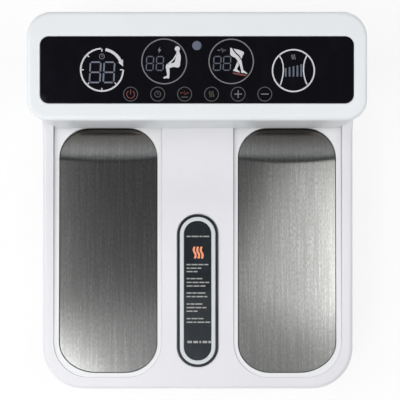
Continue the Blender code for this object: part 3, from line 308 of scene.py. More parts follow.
# Time dial: turns in degrees from the top, ends and corners as reaches from the middle
TICK_TURNS = (0, 90, 135, 180, 225, 270, 315)
TICK_ENDS = (18.2, 20.8)
TICK_LINE = 1.1
ARROW_HEAD = ((21.4, 81), (18.0, 66), (23.4, 64))

# Seated figure and walking legs
SITTER_BODY = ((176.2, 50.4), (179.1, 50.4), (179.4, 52.2), (180.2, 54.0), (180.8, 56.3),
               (180.8, 58.3), (180.2, 62.9), (180.1, 65.5), (178.9, 67.3), (177.4, 67.6),
               (173.3, 66.9), (171.3, 67.5), (169.3, 68.4), (169.6, 70.8), (169.3, 77.7),
               (168.5, 78.7), (166.7, 78.1), (163.9, 78.7), (163.2, 77.3), (166.4, 76.0),
               (167.1, 74.9), (166.7, 72.1), (165.7, 66.6), (166.4, 64.7), (168.2, 63.4),
               (171.9, 63.1), (173.4, 62.9), (174.7, 62.0), (175.2, 59.8), (176.3, 55.4),
               (176.5, 52.8))
SITTER_ARM = ((176.7, 54.0), (173.6, 59.2), (170.9, 61.9), (167.6, 64.3))
SITTER_ARM_LINE = 1.3
BACK_LEG = ((230.2, 47.9), (231.8, 48.1), (233.2, 50.7), (235.9, 53.9), (238.7, 56.4),
            (240.3, 58.7), (241.3, 60.1), (242.1, 63.7), (242.8, 67.4), (243.2, 69.9),
            (245.3, 71.5), (247.4, 73.4), (247.0, 74.1), (244.7, 73.1), (241.0, 72.7),
            (241.1, 70.4), (239.8, 65.3), (238.5, 63.5), (236.9, 59.6), (235.5, 58.0),
            (233.2, 56.9), (231.1, 55.7), (230.2, 54.1))
FRONT_THIGH = ((233.4, 48.6), (235.9, 49.2), (239.6, 50.0), (242.4, 51.1), (244.0, 52.5),
               (243.9, 53.6), (242.8, 55.5), (241.6, 58.9), (239.4, 55.5), (235.5, 51.8))
FRONT_SHIN = ((237.2, 61.9), (238.6, 64.2), (238.8, 65.3), (236.9, 69.0), (238.2, 70.4),
              (239.8, 72.0), (239.4, 72.7), (237.8, 72.1), (233.2, 70.9), (233.2, 70.2),
              (234.6, 68.6), (235.5, 66.0))
SOLE = ((232.9, 72.3), (238.2, 73.3), (242.6, 74.2), (246.4, 74.8), (246.0, 76.1),
        (241.4, 75.6), (236.6, 74.6), (232.9, 73.7))

# Heat dial: two bowed lines, and bars by their middle and left top
HEAT_BOW_LINE = 1.2
HEAT_BOWS = (((279.0, 55.2), (281.6, 59.4), (283.1, 64.6), (283.4, 70.2), (282.8, 76.0),
              (281.6, 81.2), (280.2, 85.2)),
             ((306.8, 55.8), (304.8, 60.0), (303.7, 65.0), (303.4, 70.2), (304.0, 75.6),
              (305.3, 80.4), (307.0, 84.4)))
HEAT_BARS = ((285.7, 68.2), (289.6, 67.2), (293.5, 66.3), (297.4, 65.4), (301.2, 64.4))
HEAT_BAR_FOOT = 76.6
HEAT_BAR_HALF = 0.85
HEAT_BAR_SLANT = 0.2

# Touch keys: their row, then the sizes of their symbols
KEY_ROW = 94.1
KEY_COLUMNS = (130.6, 157.7, 184.6, 211.5, 238.1, 264.8)
KEY_RADIUS = 7.0
KEY_LINE = 0.8
KEY_SIDES = 36
POWER_DROP = 0.2
POWER_RADIUS = 3.9
POWER_TURNS = (34, 326)
POWER_BAR = (-4.4, 0.4)
POWER_LINE = 0.75
TIME_KEY_RADIUS = 3.0
TIME_KEY_LINE = 0.7
PULSE_KEY_DROP = -1.2
PULSE_KEY_REACH = 4.2
UNDERLINE_DROP = 3.0
UNDERLINE_REACH = 3.2
UNDERLINE = 0.9
HEAT_KEY_REACH = 3.0
HEAT_KEY_LINE = 0.8
SIGN_REACH = 3.8
SIGN_GAP = 0.48
SIGN_LINE = 0.95

# Badge: rows of dashes by their height and lengths, then a heavy row by starts and lengths
BADGE_ROW_START = 186.6
BADGE_ROW_HALF = 0.6
BADGE_DASH_GAP = 0.9
BADGE_ROWS = ((236.4, (4, 7, 3, 6)), (264.6, (4, 6, 5, 4)), (268.2, (3, 6, 4)), (271.6, (6, 4)),
              (278.6, (3, 5, 6)), (282.4, (5, 6, 5, 4)), (286.0, (6, 6, 5)), (293.0, (5, 4, 8)),
              (296.6, (4, 4, 7, 3)), (304.0, (3, 4, 7)), (307.6, (8, 6, 4)), (311.2, (6, 4)),
              (318.6, (4, 6, 5)), (322.2, (6, 3, 7, 5)))
BADGE_HEAVY_ROW = (340.9, 343.1)
BADGE_HEAVY_DASHES = ((187.4, 4.6), (193.4, 4.6), (199.4, 1.8), (202.6, 4.6), (208.4, 3.0))

# Camera: photograph in pixels, place in metres on the deck
FRAME_PX = 400
FOCAL_PX = 897
CENTRE_PX = 207
EYE_X = 0.0104
EYE_ALONG = 0.010
EYE_HEIGHT = 0.998
SENSOR_MM = 36.0

# Studio
FLOOR_HALF = 10.0
FLOOR_CORNER = 6.0
BACKDROP_PROFILE = ((0, 0), (0.6, 0.1), (1.2, 0.5), (1.5, 5))
FLOOR_COLOUR = (0.95, 0.95, 0.95)
FLOOR_GLOW = 0.8
AMBIENCE_COLOUR = (0.96, 0.975, 1.0, 1.0)
AMBIENCE_STRENGTH = 0.045
AIM = (0, 0, 0.05)
WHITE = (1.0, 1.0, 1.0)
PALE_YELLOW = (1.0, 1.0, 0.95)

# Lamps: name, middle, aim, size, power and colour
LAMPS = (
    ("side_left", (-1.50, 0.10, 1.30), AIM, (1.0, 1.4), 18.4, WHITE),
    ("side_right", (1.50, 0.10, 1.30), AIM, (1.0, 1.4), 13.4, WHITE),
    ("toe_side", (0.0, 1.50, 1.20), AIM, (1.4, 0.6), 6.5, WHITE),
    ("heel_side", (-0.6, -1.60, 0.95), AIM, (1.4, 0.6), 9.2, WHITE),
    ("plate_glow_right", (0.40, -0.075, 1.05), (0.12, -0.05, 0.05), (0.42, 0.17), 0.88, PALE_YELLOW),
    ("plate_glow_left", (-0.47, -0.54, 1.05), (-0.10, -0.10, 0.05), (0.50, 0.46), 3.3, WHITE),
    ("plate_glow_heel", (0.08, -0.36, 1.05), (0.05, -0.15, 0.05), (1.04, 0.24), 0.32, WHITE),
    ("plate_glow_mid", (-0.40, -0.06, 1.05), (-0.15, -0.07, 0.05), (0.46, 0.14), 0.11, WHITE),
    ("plate_glow_fill", (0.26, -0.12, 1.05), (0.08, -0.04, 0.05), (0.34, 0.28), 0.33, WHITE),
    ("plate_glow_low", (0.43, -0.34, 1.05), (0.12, -0.13, 0.05), (0.38, 0.19), 0.13, WHITE),
)


def deck_height(y):
    """Height of the sloping deck above the floor."""
    return DECK_MID_HEIGHT + y * tan(DECK_SLOPE)


def from_deck(spots):
    """World places of points given on the deck."""
    x, along, out = np.asarray(spots, float).T
    y = along * cos(DECK_SLOPE) - out * sin(DECK_SLOPE)
    z = DECK_MID_HEIGHT + along * sin(DECK_SLOPE) + out * cos(DECK_SLOPE)
    return np.column_stack([x, y, z])


def from_rear(spots):
    """World places of points given on the rear wall: across, up and out of the wall."""
    across, up, out = np.asarray(spots, float).T
    return np.column_stack([across, REAR_Y + out, REAR_AXIS_HEIGHT + up])


def from_rocker(spots):
    """World places of points given on the rocker: out of the wall, up and across."""
    out, up, across = np.asarray(spots, float).T
    tilted_out = out * cos(ROCKER_TILT) + up * sin(ROCKER_TILT)
    tilted_up = -out * sin(ROCKER_TILT) + up * cos(ROCKER_TILT)
    return np.column_stack([SWITCH_X + across, REAR_Y - ROCKER_AXIS_DEPTH + tilted_out,
                            REAR_AXIS_HEIGHT + tilted_up])


def upright(spots):
    """World places of points that are given as world places."""
    return np.asarray(spots, float)


def photo_spot(px, py, out):
    """Place on the deck, at a distance out of it, of a pixel of the photograph."""
    scale = (EYE_HEIGHT - out) / FOCAL_PX
    return (EYE_X + (px - CENTRE_PX) * scale, EYE_ALONG + (FRAME_PX / 2 - py) * scale)


def middle_of(node):
    """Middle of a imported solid, seen from above."""
    low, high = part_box(node)
    return ((low.x + high.x) / 2, (low.y + high.y) / 2)


# Outlines


class Plan:
    """Closed outline, anticlockwise, with the outward way at each point."""

    def __init__(self, spots, ways):
        self.spots = np.array(spots, float)
        self.ways = np.array(ways, float)

    def with_rows(self, rows):
        """Adds a point wherever a straight side crosses a row."""
        for row in rows:
            spots, ways = [], []
            following = np.roll(self.spots, -1, axis=0)
            for spot, way, after in zip(self.spots, self.ways, following):
                spots.append(spot)
                ways.append(way)
                if (spot[1] - row) * (after[1] - row) < -CROSSING:
                    share = (row - spot[1]) / (after[1] - spot[1])
                    spots.append(spot + share * (after - spot))
                    ways.append(way)
            self.spots, self.ways = np.array(spots), np.array(ways)
        return self

    def ring(self, grow, height):
        """Points of the outline grown by a distance, at a height."""
        reach = grow(self.spots[:, 1]) if callable(grow) else np.full(len(self.spots), grow)
        flat = self.spots + self.ways * reach[:, None]
        level = height(flat[:, 1]) if callable(height) else np.full(len(flat), height)
        return np.column_stack([flat, level])

    def rings(self, profile):
        """Rings for (grown distance, height) pairs."""
        return [self.ring(grow, height) for grow, height in profile]


def rounded_plan(low, high, *radii, chamfer_low=False):
    """Rounded rectangle; its low corners can be straight chamfers.

    One radius serves all corners and two serve the low and the high ones. Four are for the
    corners in turn, from the low right one; each may be a pair: across and along.
    """
    if len(radii) < 4:
        radii = (radii[0], radii[-1], radii[-1], radii[0])
    corners = (
        (high[0], low[1], -1, 1, -pi / 2),
        (high[0], high[1], -1, -1, 0.0),
        (low[0], high[1], 1, -1, pi / 2),
        (low[0], low[1], 1, 1, pi),
    )
    spots, ways = [], []
    for (x, y, inward_x, inward_y, start), radius in zip(corners, radii):
        size = np.array(radius if isinstance(radius, tuple) else (radius, radius))
        middle = np.array((x + inward_x * size[0], y + inward_y * size[1]))
        ends = [np.array((cos(angle), sin(angle))) for angle in (start, start + pi / 2)]
        for step in range(CORNER_STEPS + 1):
            share = step / CORNER_STEPS
            way = np.array((cos(start + share * pi / 2), sin(start + share * pi / 2)))
            reach = ends[0] + share * (ends[1] - ends[0]) if chamfer_low and inward_y > 0 else way
            spots.append(middle + size * reach)
            ways.append(way / size / np.linalg.norm(way / size))
    return Plan(spots, ways)


def round_plan(middle, radius, sides=ROUND_SIDES):
    angles = np.arange(sides) * 2 * pi / sides
    ways = np.column_stack([np.cos(angles), np.sin(angles)])
    return Plan(np.array(middle) + radius * ways, ways)


def free_plan(points):
    """Any outline; each outward way is mitred, so that the sides move evenly."""
    spots = np.array(points, float)
    edges = np.roll(spots, -1, axis=0) - spots
    edges /= np.linalg.norm(edges, axis=1)[:, None]
    outward = np.column_stack([edges[:, 1], -edges[:, 0]])
    before = np.roll(outward, 1, axis=0)
    ways = outward + before
    ways /= (1 + np.sum(outward * before, axis=1))[:, None]
    return Plan(spots, ways)


def at(value, y):
    """A value that may vary along the deck, at one place."""
    return value(y) if callable(value) else value


def less(value, step, share=1.0):
    """A value less a share of a step; either may vary along the deck."""
    if callable(value) or callable(step):
        return lambda y: at(value, y) - share * at(step, y)
    return value - share * step


def rim_over(plan, grow, top, radius, steps=EDGE_STEPS):
    """Rings up a wall's last stretch and over a rounded edge, inwards."""
    return [plan.ring(less(grow, radius, 1 - cos(angle)), less(top, radius, 1 - sin(angle)))
            for angle in np.linspace(0, pi / 2, steps + 1)]


def rim_into(plan, grow, top, radius, steps=EDGE_STEPS):
    """Rings over the rounded edge of an opening and down into it."""
    return [plan.ring(less(grow, radius, sin(angle) - 1), less(top, radius, 1 - cos(angle)))
            for angle in np.linspace(0, pi / 2, steps + 1)]


def base_outline():
    return rounded_plan((-HALF_WIDTH, HEEL_Y), (HALF_WIDTH, REAR_Y), HEEL_CORNER, REAR_CORNER)


def console_outline(rise, inset=0.0):
    """Outline of the console at a share of its height: it leans outwards, front and back apart."""
    half = HALF_WIDTH + rise * (CONSOLE_TOP_HALF - HALF_WIDTH) - inset
    front = CONSOLE_FRONT + rise * (CONSOLE_TOP_FRONT - CONSOLE_FRONT) + inset
    back = CONSOLE_BACK + rise * (CONSOLE_TOP_BACK - CONSOLE_BACK) - inset
    return rounded_plan((-half, front), (half, back), CONSOLE_CORNER - inset, REAR_CORNER - inset)


def panel_outline():
    return rounded_plan((-PANEL_HALF, PANEL_FRONT), (PANEL_HALF, PANEL_BACK), PANEL_CORNER)


def plate_outline(side):
    """Outline of the plate: wider curves at the heel, the widest outside."""
    middle = SIDES[side] * WELL_X
    left_corner, right_corner = (HEEL_INNER_CORNER, HEEL_OUTER_CORNER)[::SIDES[side]]
    plan = rounded_plan((middle - PLATE_HALF, PLATE_HEEL), (middle + PLATE_HALF, PLATE_TOE),
                        right_corner, PLATE_CORNER, PLATE_CORNER, left_corner)
    return plan.with_rows((RAMP_START - RAMP_BEND, RAMP_START))


def bezel_outline(side):
    """Outline of the bezel: round at the heel, straight on under the console at the toes."""
    left, right = sorted(SIDES[side] * (WELL_X + reach) for reach in
                         (-PLATE_HALF - BEZEL_RIM, PLATE_HALF + BEZEL_OUTER_RIM))
    plan = rounded_plan((left, PLATE_HEEL - BEZEL_RIM), (right, PLATE_TOE + BEZEL_RIM),
                        PLATE_CORNER + BEZEL_RIM, BEZEL_TOE_CORNER)
    return plan.with_rows((RAMP_START - RAMP_BEND, RAMP_START))


def badge_outline():
    return rounded_plan((-BADGE_HALF, BADGE_MIDDLE - BADGE_LENGTH / 2),
                        (BADGE_HALF, BADGE_MIDDLE + BADGE_LENGTH / 2), BADGE_HALF - GAP)


def rear_outline(x, half, *radii, up=0.0, chamfer_low=False):
    """Outline on the rear wall, from its half width and half height."""
    return rounded_plan((x - half[0], up - half[1]), (x + half[0], up + half[1]), *radii,
                        chamfer_low=chamfer_low)


# Sizes that change along the deck


def deck_fillet(y):
    """Radius of the deck's edge: it runs out under the console."""
    share = np.clip((FILLET_END - y) / DECK_FILLET_RUN_OUT, 0, 1)
    return DECK_FILLET_LEAST + (DECK_FILLET - DECK_FILLET_LEAST) * share


def seam_size(along, ends):
    """A size of the seam between deck and bezel, which starts small at the heel."""
    share = np.clip((along - PLATE_HEEL) / SEAM_CHANGE, 0, 1)
    return ends[0] + (ends[1] - ends[0]) * share


def seam_edge(along):
    """Rounding of both sides of the seam."""
    return seam_size(along, SEAM_EDGE)


def seam_gap(along):
    """Width of the seam."""
    return seam_size(along, SEAM_GAP)


def bezel_top(along):
    """Depth of the bezel's face below the deck, a little deeper towards the toes."""
    share = (along - PLATE_HEEL) / (PLATE_TOE - PLATE_HEEL)
    return -(HEEL_SINK + share * (TOE_SINK - HEEL_SINK))


def ramp_drop(along, start=RAMP_START):
    """How far the plate has gone down at its toes: a soft kink, then steeper to the end."""
    run = (np.asarray(along, float) - start) / RAMP_LENGTH
    bend = RAMP_BEND / RAMP_LENGTH
    straight = np.where(run < bend, (run + bend) ** 2 / (4 * bend), run)
    straight = np.where(run < -bend, 0.0, straight)
    first = RAMP_FIRST_SHARE
    return RAMP_DROP * (first * straight + (1 - first) * np.clip(run, 0, None) ** 3)


# Meshes


def smooth(piece):
    piece.data.shade_smooth()
    piece.data.set_sharp_from_angle(angle=SHARP_ANGLE)


def to_piece(name, bm):
    """Object of a finished mesh, smooth but for its sharp edges."""
    bmesh.ops.recalc_face_normals(bm, faces=bm.faces)
    mesh = bpy.data.meshes.new(name)
    bm.to_mesh(mesh)
    bm.free()
    piece = bpy.data.objects.new(name, mesh)
    bpy.context.scene.collection.objects.link(piece)
    smooth(piece)
    return piece


def wall(bm, low, high, closed=True):
    """Faces between two rows of vertices."""
    for index in range(len(low) - (not closed)):
        after = (index + 1) % len(low)
        bm.faces.new((low[index], low[after], high[after], high[index]))


def stacked(bm, rings, lay, closed):
    """Walls between neighbouring rings; returns the rings' vertices."""
    loops = [[bm.verts.new(spot) for spot in lay(ring)] for ring in rings]
    following = loops[1:] + loops[:1] if closed else loops[1:]
    for low, high in zip(loops, following):
        wall(bm, low, high)
    return loops


def stack(name, rings, lay=from_deck):
    """Closed form through a stack of rings, with a flat end at the first and the last one."""
    bm = bmesh.new()
    loops = stacked(bm, rings, lay, closed=False)
    bm.faces.new(loops[0])
    bm.faces.new(loops[-1])
    return to_piece(name, bm)


def hoop(name, rings, lay=from_deck):
    """Closed ring-shaped form whose section runs through the rings."""
    bm = bmesh.new()
    stacked(bm, rings, lay, closed=True)
    return to_piece(name, bm)


def turned(name, middle, profile, lay=upright, sides=ROUND_SIDES):
    """Profile of (radius, height) points turned round an upright axis."""
    return stack(name, [round_plan(middle, radius, sides).ring(0, height)
                        for radius, height in profile], lay)


def block(name, low, high, radius, lay=upright):
    """Upright block with rounded corners."""
    plan = rounded_plan(low[:2], high[:2], radius)
    return stack(name, plan.rings(((0, low[2]), (0, high[2]))), lay)


def carve(piece, *cutters):
    """Cuts other closed forms out of a piece."""
    for cutter in cutters:
        step = piece.modifiers.new("cut", "BOOLEAN")
        step.operation = "DIFFERENCE"
        step.solver = "EXACT"
        step.object = cutter
    view = bpy.context.evaluated_depsgraph_get()
    cut_mesh = bpy.data.meshes.new_from_object(piece.evaluated_get(view))
    piece.modifiers.clear()
    piece.data = cut_mesh
    for cutter in cutters:
        bpy.data.objects.remove(cutter)
    smooth(piece)
    return piece


# Finishes


class Amount:
    """A value in a material that can be used in sums."""

    def __init__(self, finish, socket):
        self.finish = finish
        self.socket = socket

    def combine(self, operation, first, second):
        return self.finish.node("ShaderNodeMath", {"operation": operation}, {0: first, 1: second})

    def __add__(self, other):
        return self.combine("ADD", self, other)

    def __sub__(self, other):
        return self.combine("SUBTRACT", self, other)

    def __rsub__(self, other):
        return self.combine("SUBTRACT", other, self)

    def __mul__(self, other):
        return self.combine("MULTIPLY", self, other)

    __radd__ = __add__
    __rmul__ = __mul__

    def rise(self, start, end):
        """Goes smoothly from 0 to 1 between two values."""
        return self.finish.node("ShaderNodeMapRange", {"interpolation_type": "SMOOTHSTEP"},
                                {"Value": self, "From Min": start, "From Max": end})


class Finish:
    """A procedural surface; fixed values sit on the shader's own sockets."""

    def __init__(self, name, **fixed):
        self.material = bpy.data.materials.new(name)
        self.material.use_nodes = True
        self.tree = self.material.node_tree
        self.shader = self.tree.nodes["Principled BSDF"]
        for label, value in fixed.items():
            self.shader.inputs[label.replace("_", " ")].default_value = value

    def node(self, kind, settings=None, inputs=None, output=0):
        """Adds a node with its settings first, then the values or links of its sockets."""
        made = self.tree.nodes.new(kind)
        for label, value in (settings or {}).items():
            setattr(made, label, value)
        for label, value in (inputs or {}).items():
            self.feed(made.inputs[label], value)
        return Amount(self, made.outputs[output])

    def feed(self, socket, value):
        if isinstance(value, Amount):
            self.tree.links.new(value.socket, socket)
        elif socket.type == "RGBA" and len(value) == 3:
            socket.default_value = (*value, 1.0)
        else:
            socket.default_value = value

    def places(self, stretch=None):
        """Places on the piece in metres, stretched if asked."""
        spot = self.node("ShaderNodeTexCoord", output="Object")
        if stretch is None:
            return spot
        return self.node("ShaderNodeVectorMath", {"operation": "MULTIPLY"}, {0: spot, 1: stretch})

    def along(self):
        """Distance along the Y axis."""
        return self.node("ShaderNodeSeparateXYZ", None, {0: self.places()}, output="Y")

    def noise(self, scale, detail=3.0, roughness=0.55, stretch=None, seed=0.0):
        """Noise from 0 to 1, with a scale in grains per metre."""
        return self.node("ShaderNodeTexNoise", {"noise_dimensions": "4D"},
                         {"Vector": self.places(stretch), "W": seed, "Scale": scale,
                          "Detail": detail, "Roughness": roughness})

    def scratches(self, scale, thickness, stretch=None, seed=0.0):
        """Sparse thin lines, 1 on a line and 0 between, from the level lines of a noise."""
        level = self.noise(scale, 1.0, 0.4, stretch, seed)
        distance = self.node("ShaderNodeMath", {"operation": "ABSOLUTE"}, {0: level - 0.5})
        patches = self.noise(scale * 0.7, 1.0, 0.5, stretch, seed + 9).rise(0.50, 0.62)
        return (1 - distance.rise(0.0, thickness)) * patches

    def mix(self, share, first, second):
        """Colour between two others."""
        return self.node("ShaderNodeMix", {"data_type": "RGBA"},
                         {"Factor": share, 6: first, 7: second}, output=2)

    def blend(self, share, other):
        """Lets another surface show through by a share."""
        mixed = self.node("ShaderNodeMixShader", None,
                          {0: share, 1: Amount(self, self.shader.outputs[0]), 2: other})
        self.feed(self.tree.nodes["Material Output"].inputs["Surface"], mixed)
        return self

    def set(self, **varying):
        for label, value in varying.items():
            self.feed(self.shader.inputs[label.replace("_", " ")], value)
        return self

    def relief(self, *layers):
        """Bump from layers of (height from 0 to 1, depth in metres)."""
        normal = None
        for height, depth in layers:
            inputs = {"Height": height, "Distance": depth, "Strength": 1.0}
            if normal is not None:
                inputs["Normal"] = normal
            normal = self.node("ShaderNodeBump", None, inputs)
        return self.set(Normal=normal)


def shade(colour, factor):
    return tuple(min(1.0, channel * factor) for channel in colour)


def moulded(name, colour, roughness=0.36, grain=1500, depth=0.000012, seed=0.0):
    """Injection-moulded plastic: a fine eroded grain, faint mottling and handling marks."""
    made = Finish(name, IOR=1.46)
    mottle = made.noise(22, 4.0, 0.6, seed=seed)
    dust = made.noise(420, 2.0, 0.6, seed=seed + 3).rise(0.60, 0.78)
    marks = made.scratches(60, 0.006, (1.0, 0.35, 1.0), seed + 5)
    tone = made.mix(mottle, shade(colour, 0.965), shade(colour, 1.025))
    tone = made.mix(dust * 0.10, tone, shade(colour, 0.80))
    tone = made.mix(marks * 0.10, tone, shade(colour, 0.86))
    made.set(Base_Color=tone, Roughness=mottle * 0.10 + marks * 0.12 + (roughness - 0.05))
    fine = made.noise(grain, 2.0, 0.6, seed=seed + 7)
    return made.relief((fine, depth), (marks, -0.000006))


def gloss_black(name, colour, roughness=0.07, seed=0.0):
    """Polished black surface with smears of handling and hairline scratches."""
    made = Finish(name, IOR=1.50)
    smear = made.noise(34, 3.0, 0.6, (1.0, 0.6, 1.0), seed).rise(0.45, 0.75)
    prints = made.noise(260, 2.0, 0.7, seed=seed + 2).rise(0.55, 0.80)
    hairs = made.scratches(90, 0.004, (1.0, 0.4, 1.0), seed + 4)
    tone = made.mix(smear, colour, shade(colour, 1.6))
    made.set(Base_Color=tone,
             Roughness=smear * 0.06 + smear * prints * 0.10 + hairs * 0.15 + roughness)
    ripple = made.noise(40, 1.0, 0.5, seed=seed + 6)
    return made.relief((ripple, 0.00002), (hairs, -0.000004))


def brushed_plate(name, colour, painted_ramp_shade, seed=0.0):
    """Steel brushed lengthwise: fine and coarse streaks, a dull haze over a sheen, painted shade and
    a warm painted reflection on the toe ramp, and a painted shadow at its end.
    """
    made = Finish(name, Metallic=1.0)
    fine = made.noise(1.0, 2.0, 0.6, (620.0, 16.0, 1.0), seed)
    coarse = made.noise(1.0, 3.0, 0.7, (300.0, 8.0, 1.0), seed + 3)
    broad = made.noise(14, 2.0, 0.5, seed=seed + 6)
    grain = made.noise(1.0, 2.0, 0.6, (700.0, 260.0, 1.0), seed + 8)
    streak_dark = shade(colour, 0.72)
    tone = made.mix(grain.rise(0.30, 0.70), shade(colour, 0.80), shade(colour, 1.31))
    tone = made.mix(fine.rise(0.34, 0.66) * 0.60, tone, streak_dark)
    tone = made.mix(coarse.rise(0.36, 0.64) * 0.50, tone, streak_dark)
    # Painted shade: the ramp turns darker and warmer towards the toes, standing in for its dark
    # reflection
    tone = made.mix(made.along().rise(*PAINTED_RAMP_SHADE_REACH) * 0.80, tone, painted_ramp_shade)
    # Painted shadow: the toe end of the plate is much darker, where the console's front overhangs it
    tone = made.mix(made.along().rise(*PAINTED_TOE_SHADOW_REACH) * 0.75, tone, shade(painted_ramp_shade, 0.25))
    made.set(Base_Color=tone,
             Roughness=fine * 0.010 + grain * 0.010 + broad * 0.04 + 0.135)
    made.relief((fine, 0.0000003), (grain, 0.0000002))
    haze = made.node("ShaderNodeBsdfPrincipled", None,
                     {"Base Color": tone, "Metallic": 1.0, "Roughness": 0.28})
    haze_share = 0.28
    return made.blend(haze_share, haze)


def metal(name, colour, roughness=0.25, seed=0.0):
    """Plated or drawn metal with a fine turned grain and dull spots."""
    made = Finish(name, Metallic=1.0)
    grain = made.noise(900, 3.0, 0.6, seed=seed)
    dull = made.noise(160, 3.0, 0.6, seed=seed + 4).rise(0.50, 0.75)
    made.set(Base_Color=made.mix(dull, colour, shade(colour, 0.72)),
             Roughness=grain * 0.12 + dull * 0.18 + (roughness - 0.05))
    return made.relief((grain, 0.000008))


def rubber(name, colour, roughness=0.72, seed=0.0):
    """Moulded rubber, matt, with bloom and a coarse grain."""
    made = Finish(name, IOR=1.52)
    bloom = made.noise(90, 4.0, 0.65, seed=seed)
    grain = made.noise(1300, 2.0, 0.6, seed=seed + 3)
    made.set(Base_Color=made.mix(bloom.rise(0.4, 0.8), colour, shade(colour, 2.1)),
             Roughness=bloom * 0.16 + (roughness - 0.08))
    return made.relief((grain, 0.00003))


def ink(name, colour, seed=0.0):
    """Screen-printed ink: slightly uneven cover with a soft sheen."""
    made = Finish(name, IOR=1.45)
    cover = made.noise(700, 3.0, 0.6, seed=seed)
    made.set(Base_Color=made.mix(cover, shade(colour, 0.90), shade(colour, 1.06)),
             Roughness=cover * 0.12 + 0.30)
    return made.relief((cover, 0.000006))


def board_green(name):
    """Solder mask with copper tracks showing through as a lighter green."""
    made = Finish(name, IOR=1.5)
    across = made.noise(1.0, 1.0, 0.4, (420.0, 60.0, 60.0)).rise(0.52, 0.55)
    along = made.noise(1.0, 1.0, 0.4, (60.0, 420.0, 60.0), 5.0).rise(0.54, 0.57)
    tracks = across + along
    made.set(Base_Color=made.mix(tracks, (0.016, 0.105, 0.045), (0.045, 0.210, 0.090)),
             Roughness=made.noise(300, 2.0) * 0.15 + 0.30)
    return made.relief((tracks, 0.00003))


def film_orange(name):
    """Heater film with its etched metal track under it."""
    made = Finish(name, IOR=1.5)
    wave = made.node("ShaderNodeTexWave", {"wave_type": "BANDS", "bands_direction": "X"},
                     {"Vector": made.places(), "Scale": 45.0, "Distortion": 1.2, "Detail": 1.0})
    track = wave.rise(0.45, 0.60)
    made.set(Base_Color=made.mix(track, (0.50, 0.13, 0.035), (0.30, 0.17, 0.10)),
             Roughness=made.noise(200, 2.0) * 0.15 + 0.35)
    return made.relief((track, 0.00005))


def foam_grey(name):
    """Open foam with pores."""
    made = Finish(name)
    pores = made.node("ShaderNodeTexVoronoi", None, {"Vector": made.places(), "Scale": 900.0})
    tone = made.mix(pores.rise(0.1, 0.6), (0.07, 0.07, 0.075), (0.21, 0.21, 0.22))
    made.set(Base_Color=tone, Roughness=made.noise(500, 2.0) * 0.08 + 0.88)
    return made.relief((pores, 0.0004))


def wound_block(name):
    """Stacked iron sheets, seen as thin lines."""
    made = Finish(name, Metallic=0.8)
    sheets = made.noise(1.0, 2.0, 0.6, (60.0, 1800.0, 60.0))
    made.set(Base_Color=made.mix(sheets, (0.30, 0.29, 0.27), (0.52, 0.50, 0.46)),
             Roughness=sheets * 0.2 + 0.32)
    return made.relief((sheets, 0.0001))


def ribbon_grey(name):
    """Flat cable: parallel cores across its width."""
    made = Finish(name, IOR=1.47)
    cores = made.node("ShaderNodeTexWave", {"wave_type": "BANDS", "bands_direction": "X"},
                      {"Vector": made.places(), "Scale": 160.0})
    made.set(Base_Color=made.mix(cores, (0.13, 0.13, 0.14), (0.30, 0.30, 0.31)),
             Roughness=made.noise(400, 2.0) * 0.1 + 0.40)
    return made.relief((cores, 0.0002))


def floor_finish(name, colour):
    """Pale floor that looks nearly white to the camera and in reflections, with its shadows."""
    made = Finish(name)
    cloud = made.noise(1.6, 2.0, 0.5)
    made.set(Base_Color=made.mix(cloud, shade(colour, 0.995), colour),
             Roughness=made.noise(40, 2.0) * 0.1 + 0.60)
    made.relief((made.noise(700, 2.0), 0.00002))
    seen = sum(made.node("ShaderNodeLightPath", output=f"Is {ray} Ray")
               for ray in ("Camera", "Glossy", "Transmission"))
    white = made.node("ShaderNodeEmission", None, {"Strength": 1.0})
    return made.blend(seen * FLOOR_GLOW, white)


SHELL = moulded("shell_white", (0.757, 0.753, 0.785))
CONSOLE = moulded("console_white", (0.79, 0.814, 0.836), roughness=0.34, seed=20.0)
BEZEL = moulded("bezel_white", (0.78, 0.785, 0.80), roughness=0.34, seed=40.0)
TRAY = moulded("tray_white", (0.74, 0.75, 0.77), roughness=0.50, grain=900, depth=0.00003, seed=60.0)
PANEL = gloss_black("panel_gloss", (0.0040, 0.0037, 0.0058), roughness=0.05)
LENS = gloss_black("receiver_lens", (0.120, 0.135, 0.180), roughness=0.10, seed=12.0)
BADGE_BLACK = gloss_black("badge_gloss", (0.019, 0.023, 0.028), roughness=0.06, seed=30.0)
BADGE_PALE = moulded("badge_trim", (0.62, 0.65, 0.665), roughness=0.30, depth=0.000004, seed=80.0)
# The last colour is the painted shade and warm painted reflection of the toe ramp
STEEL = brushed_plate("steel_plate", (0.40, 0.40, 0.395), painted_ramp_shade=(0.150, 0.135, 0.118))
GASKET = rubber("gasket_rubber", (0.020, 0.020, 0.020))
FOOT = rubber("foot_rubber", (0.022, 0.022, 0.023), roughness=0.8, seed=15.0)
BLACK = moulded("black_plastic", (0.020, 0.020, 0.022), roughness=0.45, seed=100.0)
ROCKER = gloss_black("rocker_gloss", (0.012, 0.012, 0.013), roughness=0.16, seed=50.0)
BRIGHT = metal("bright_metal", (0.62, 0.61, 0.59))
NICKEL = metal("blade_nickel", (0.66, 0.62, 0.54), roughness=0.20, seed=8.0)
CASE_METAL = metal("module_case", (0.55, 0.55, 0.54), roughness=0.38, seed=18.0)
LEAD = rubber("lead_cover", (0.018, 0.018, 0.020), roughness=0.5, seed=25.0)
DISPLAY = moulded("display_block", (0.055, 0.060, 0.075), roughness=0.30, seed=120.0)
MARK_WHITE = ink("mark_white", (0.61, 0.61, 0.635))
MARK_GREY = ink("mark_grey", (0.19, 0.185, 0.19), seed=3.0)
MARK_DIM = ink("mark_dim", (0.085, 0.083, 0.085), seed=6.0)
MARK_RED = ink("mark_red", (0.20, 0.060, 0.058), seed=9.0)
MARK_OLIVE = ink("mark_olive", (0.075, 0.072, 0.050), seed=12.0)
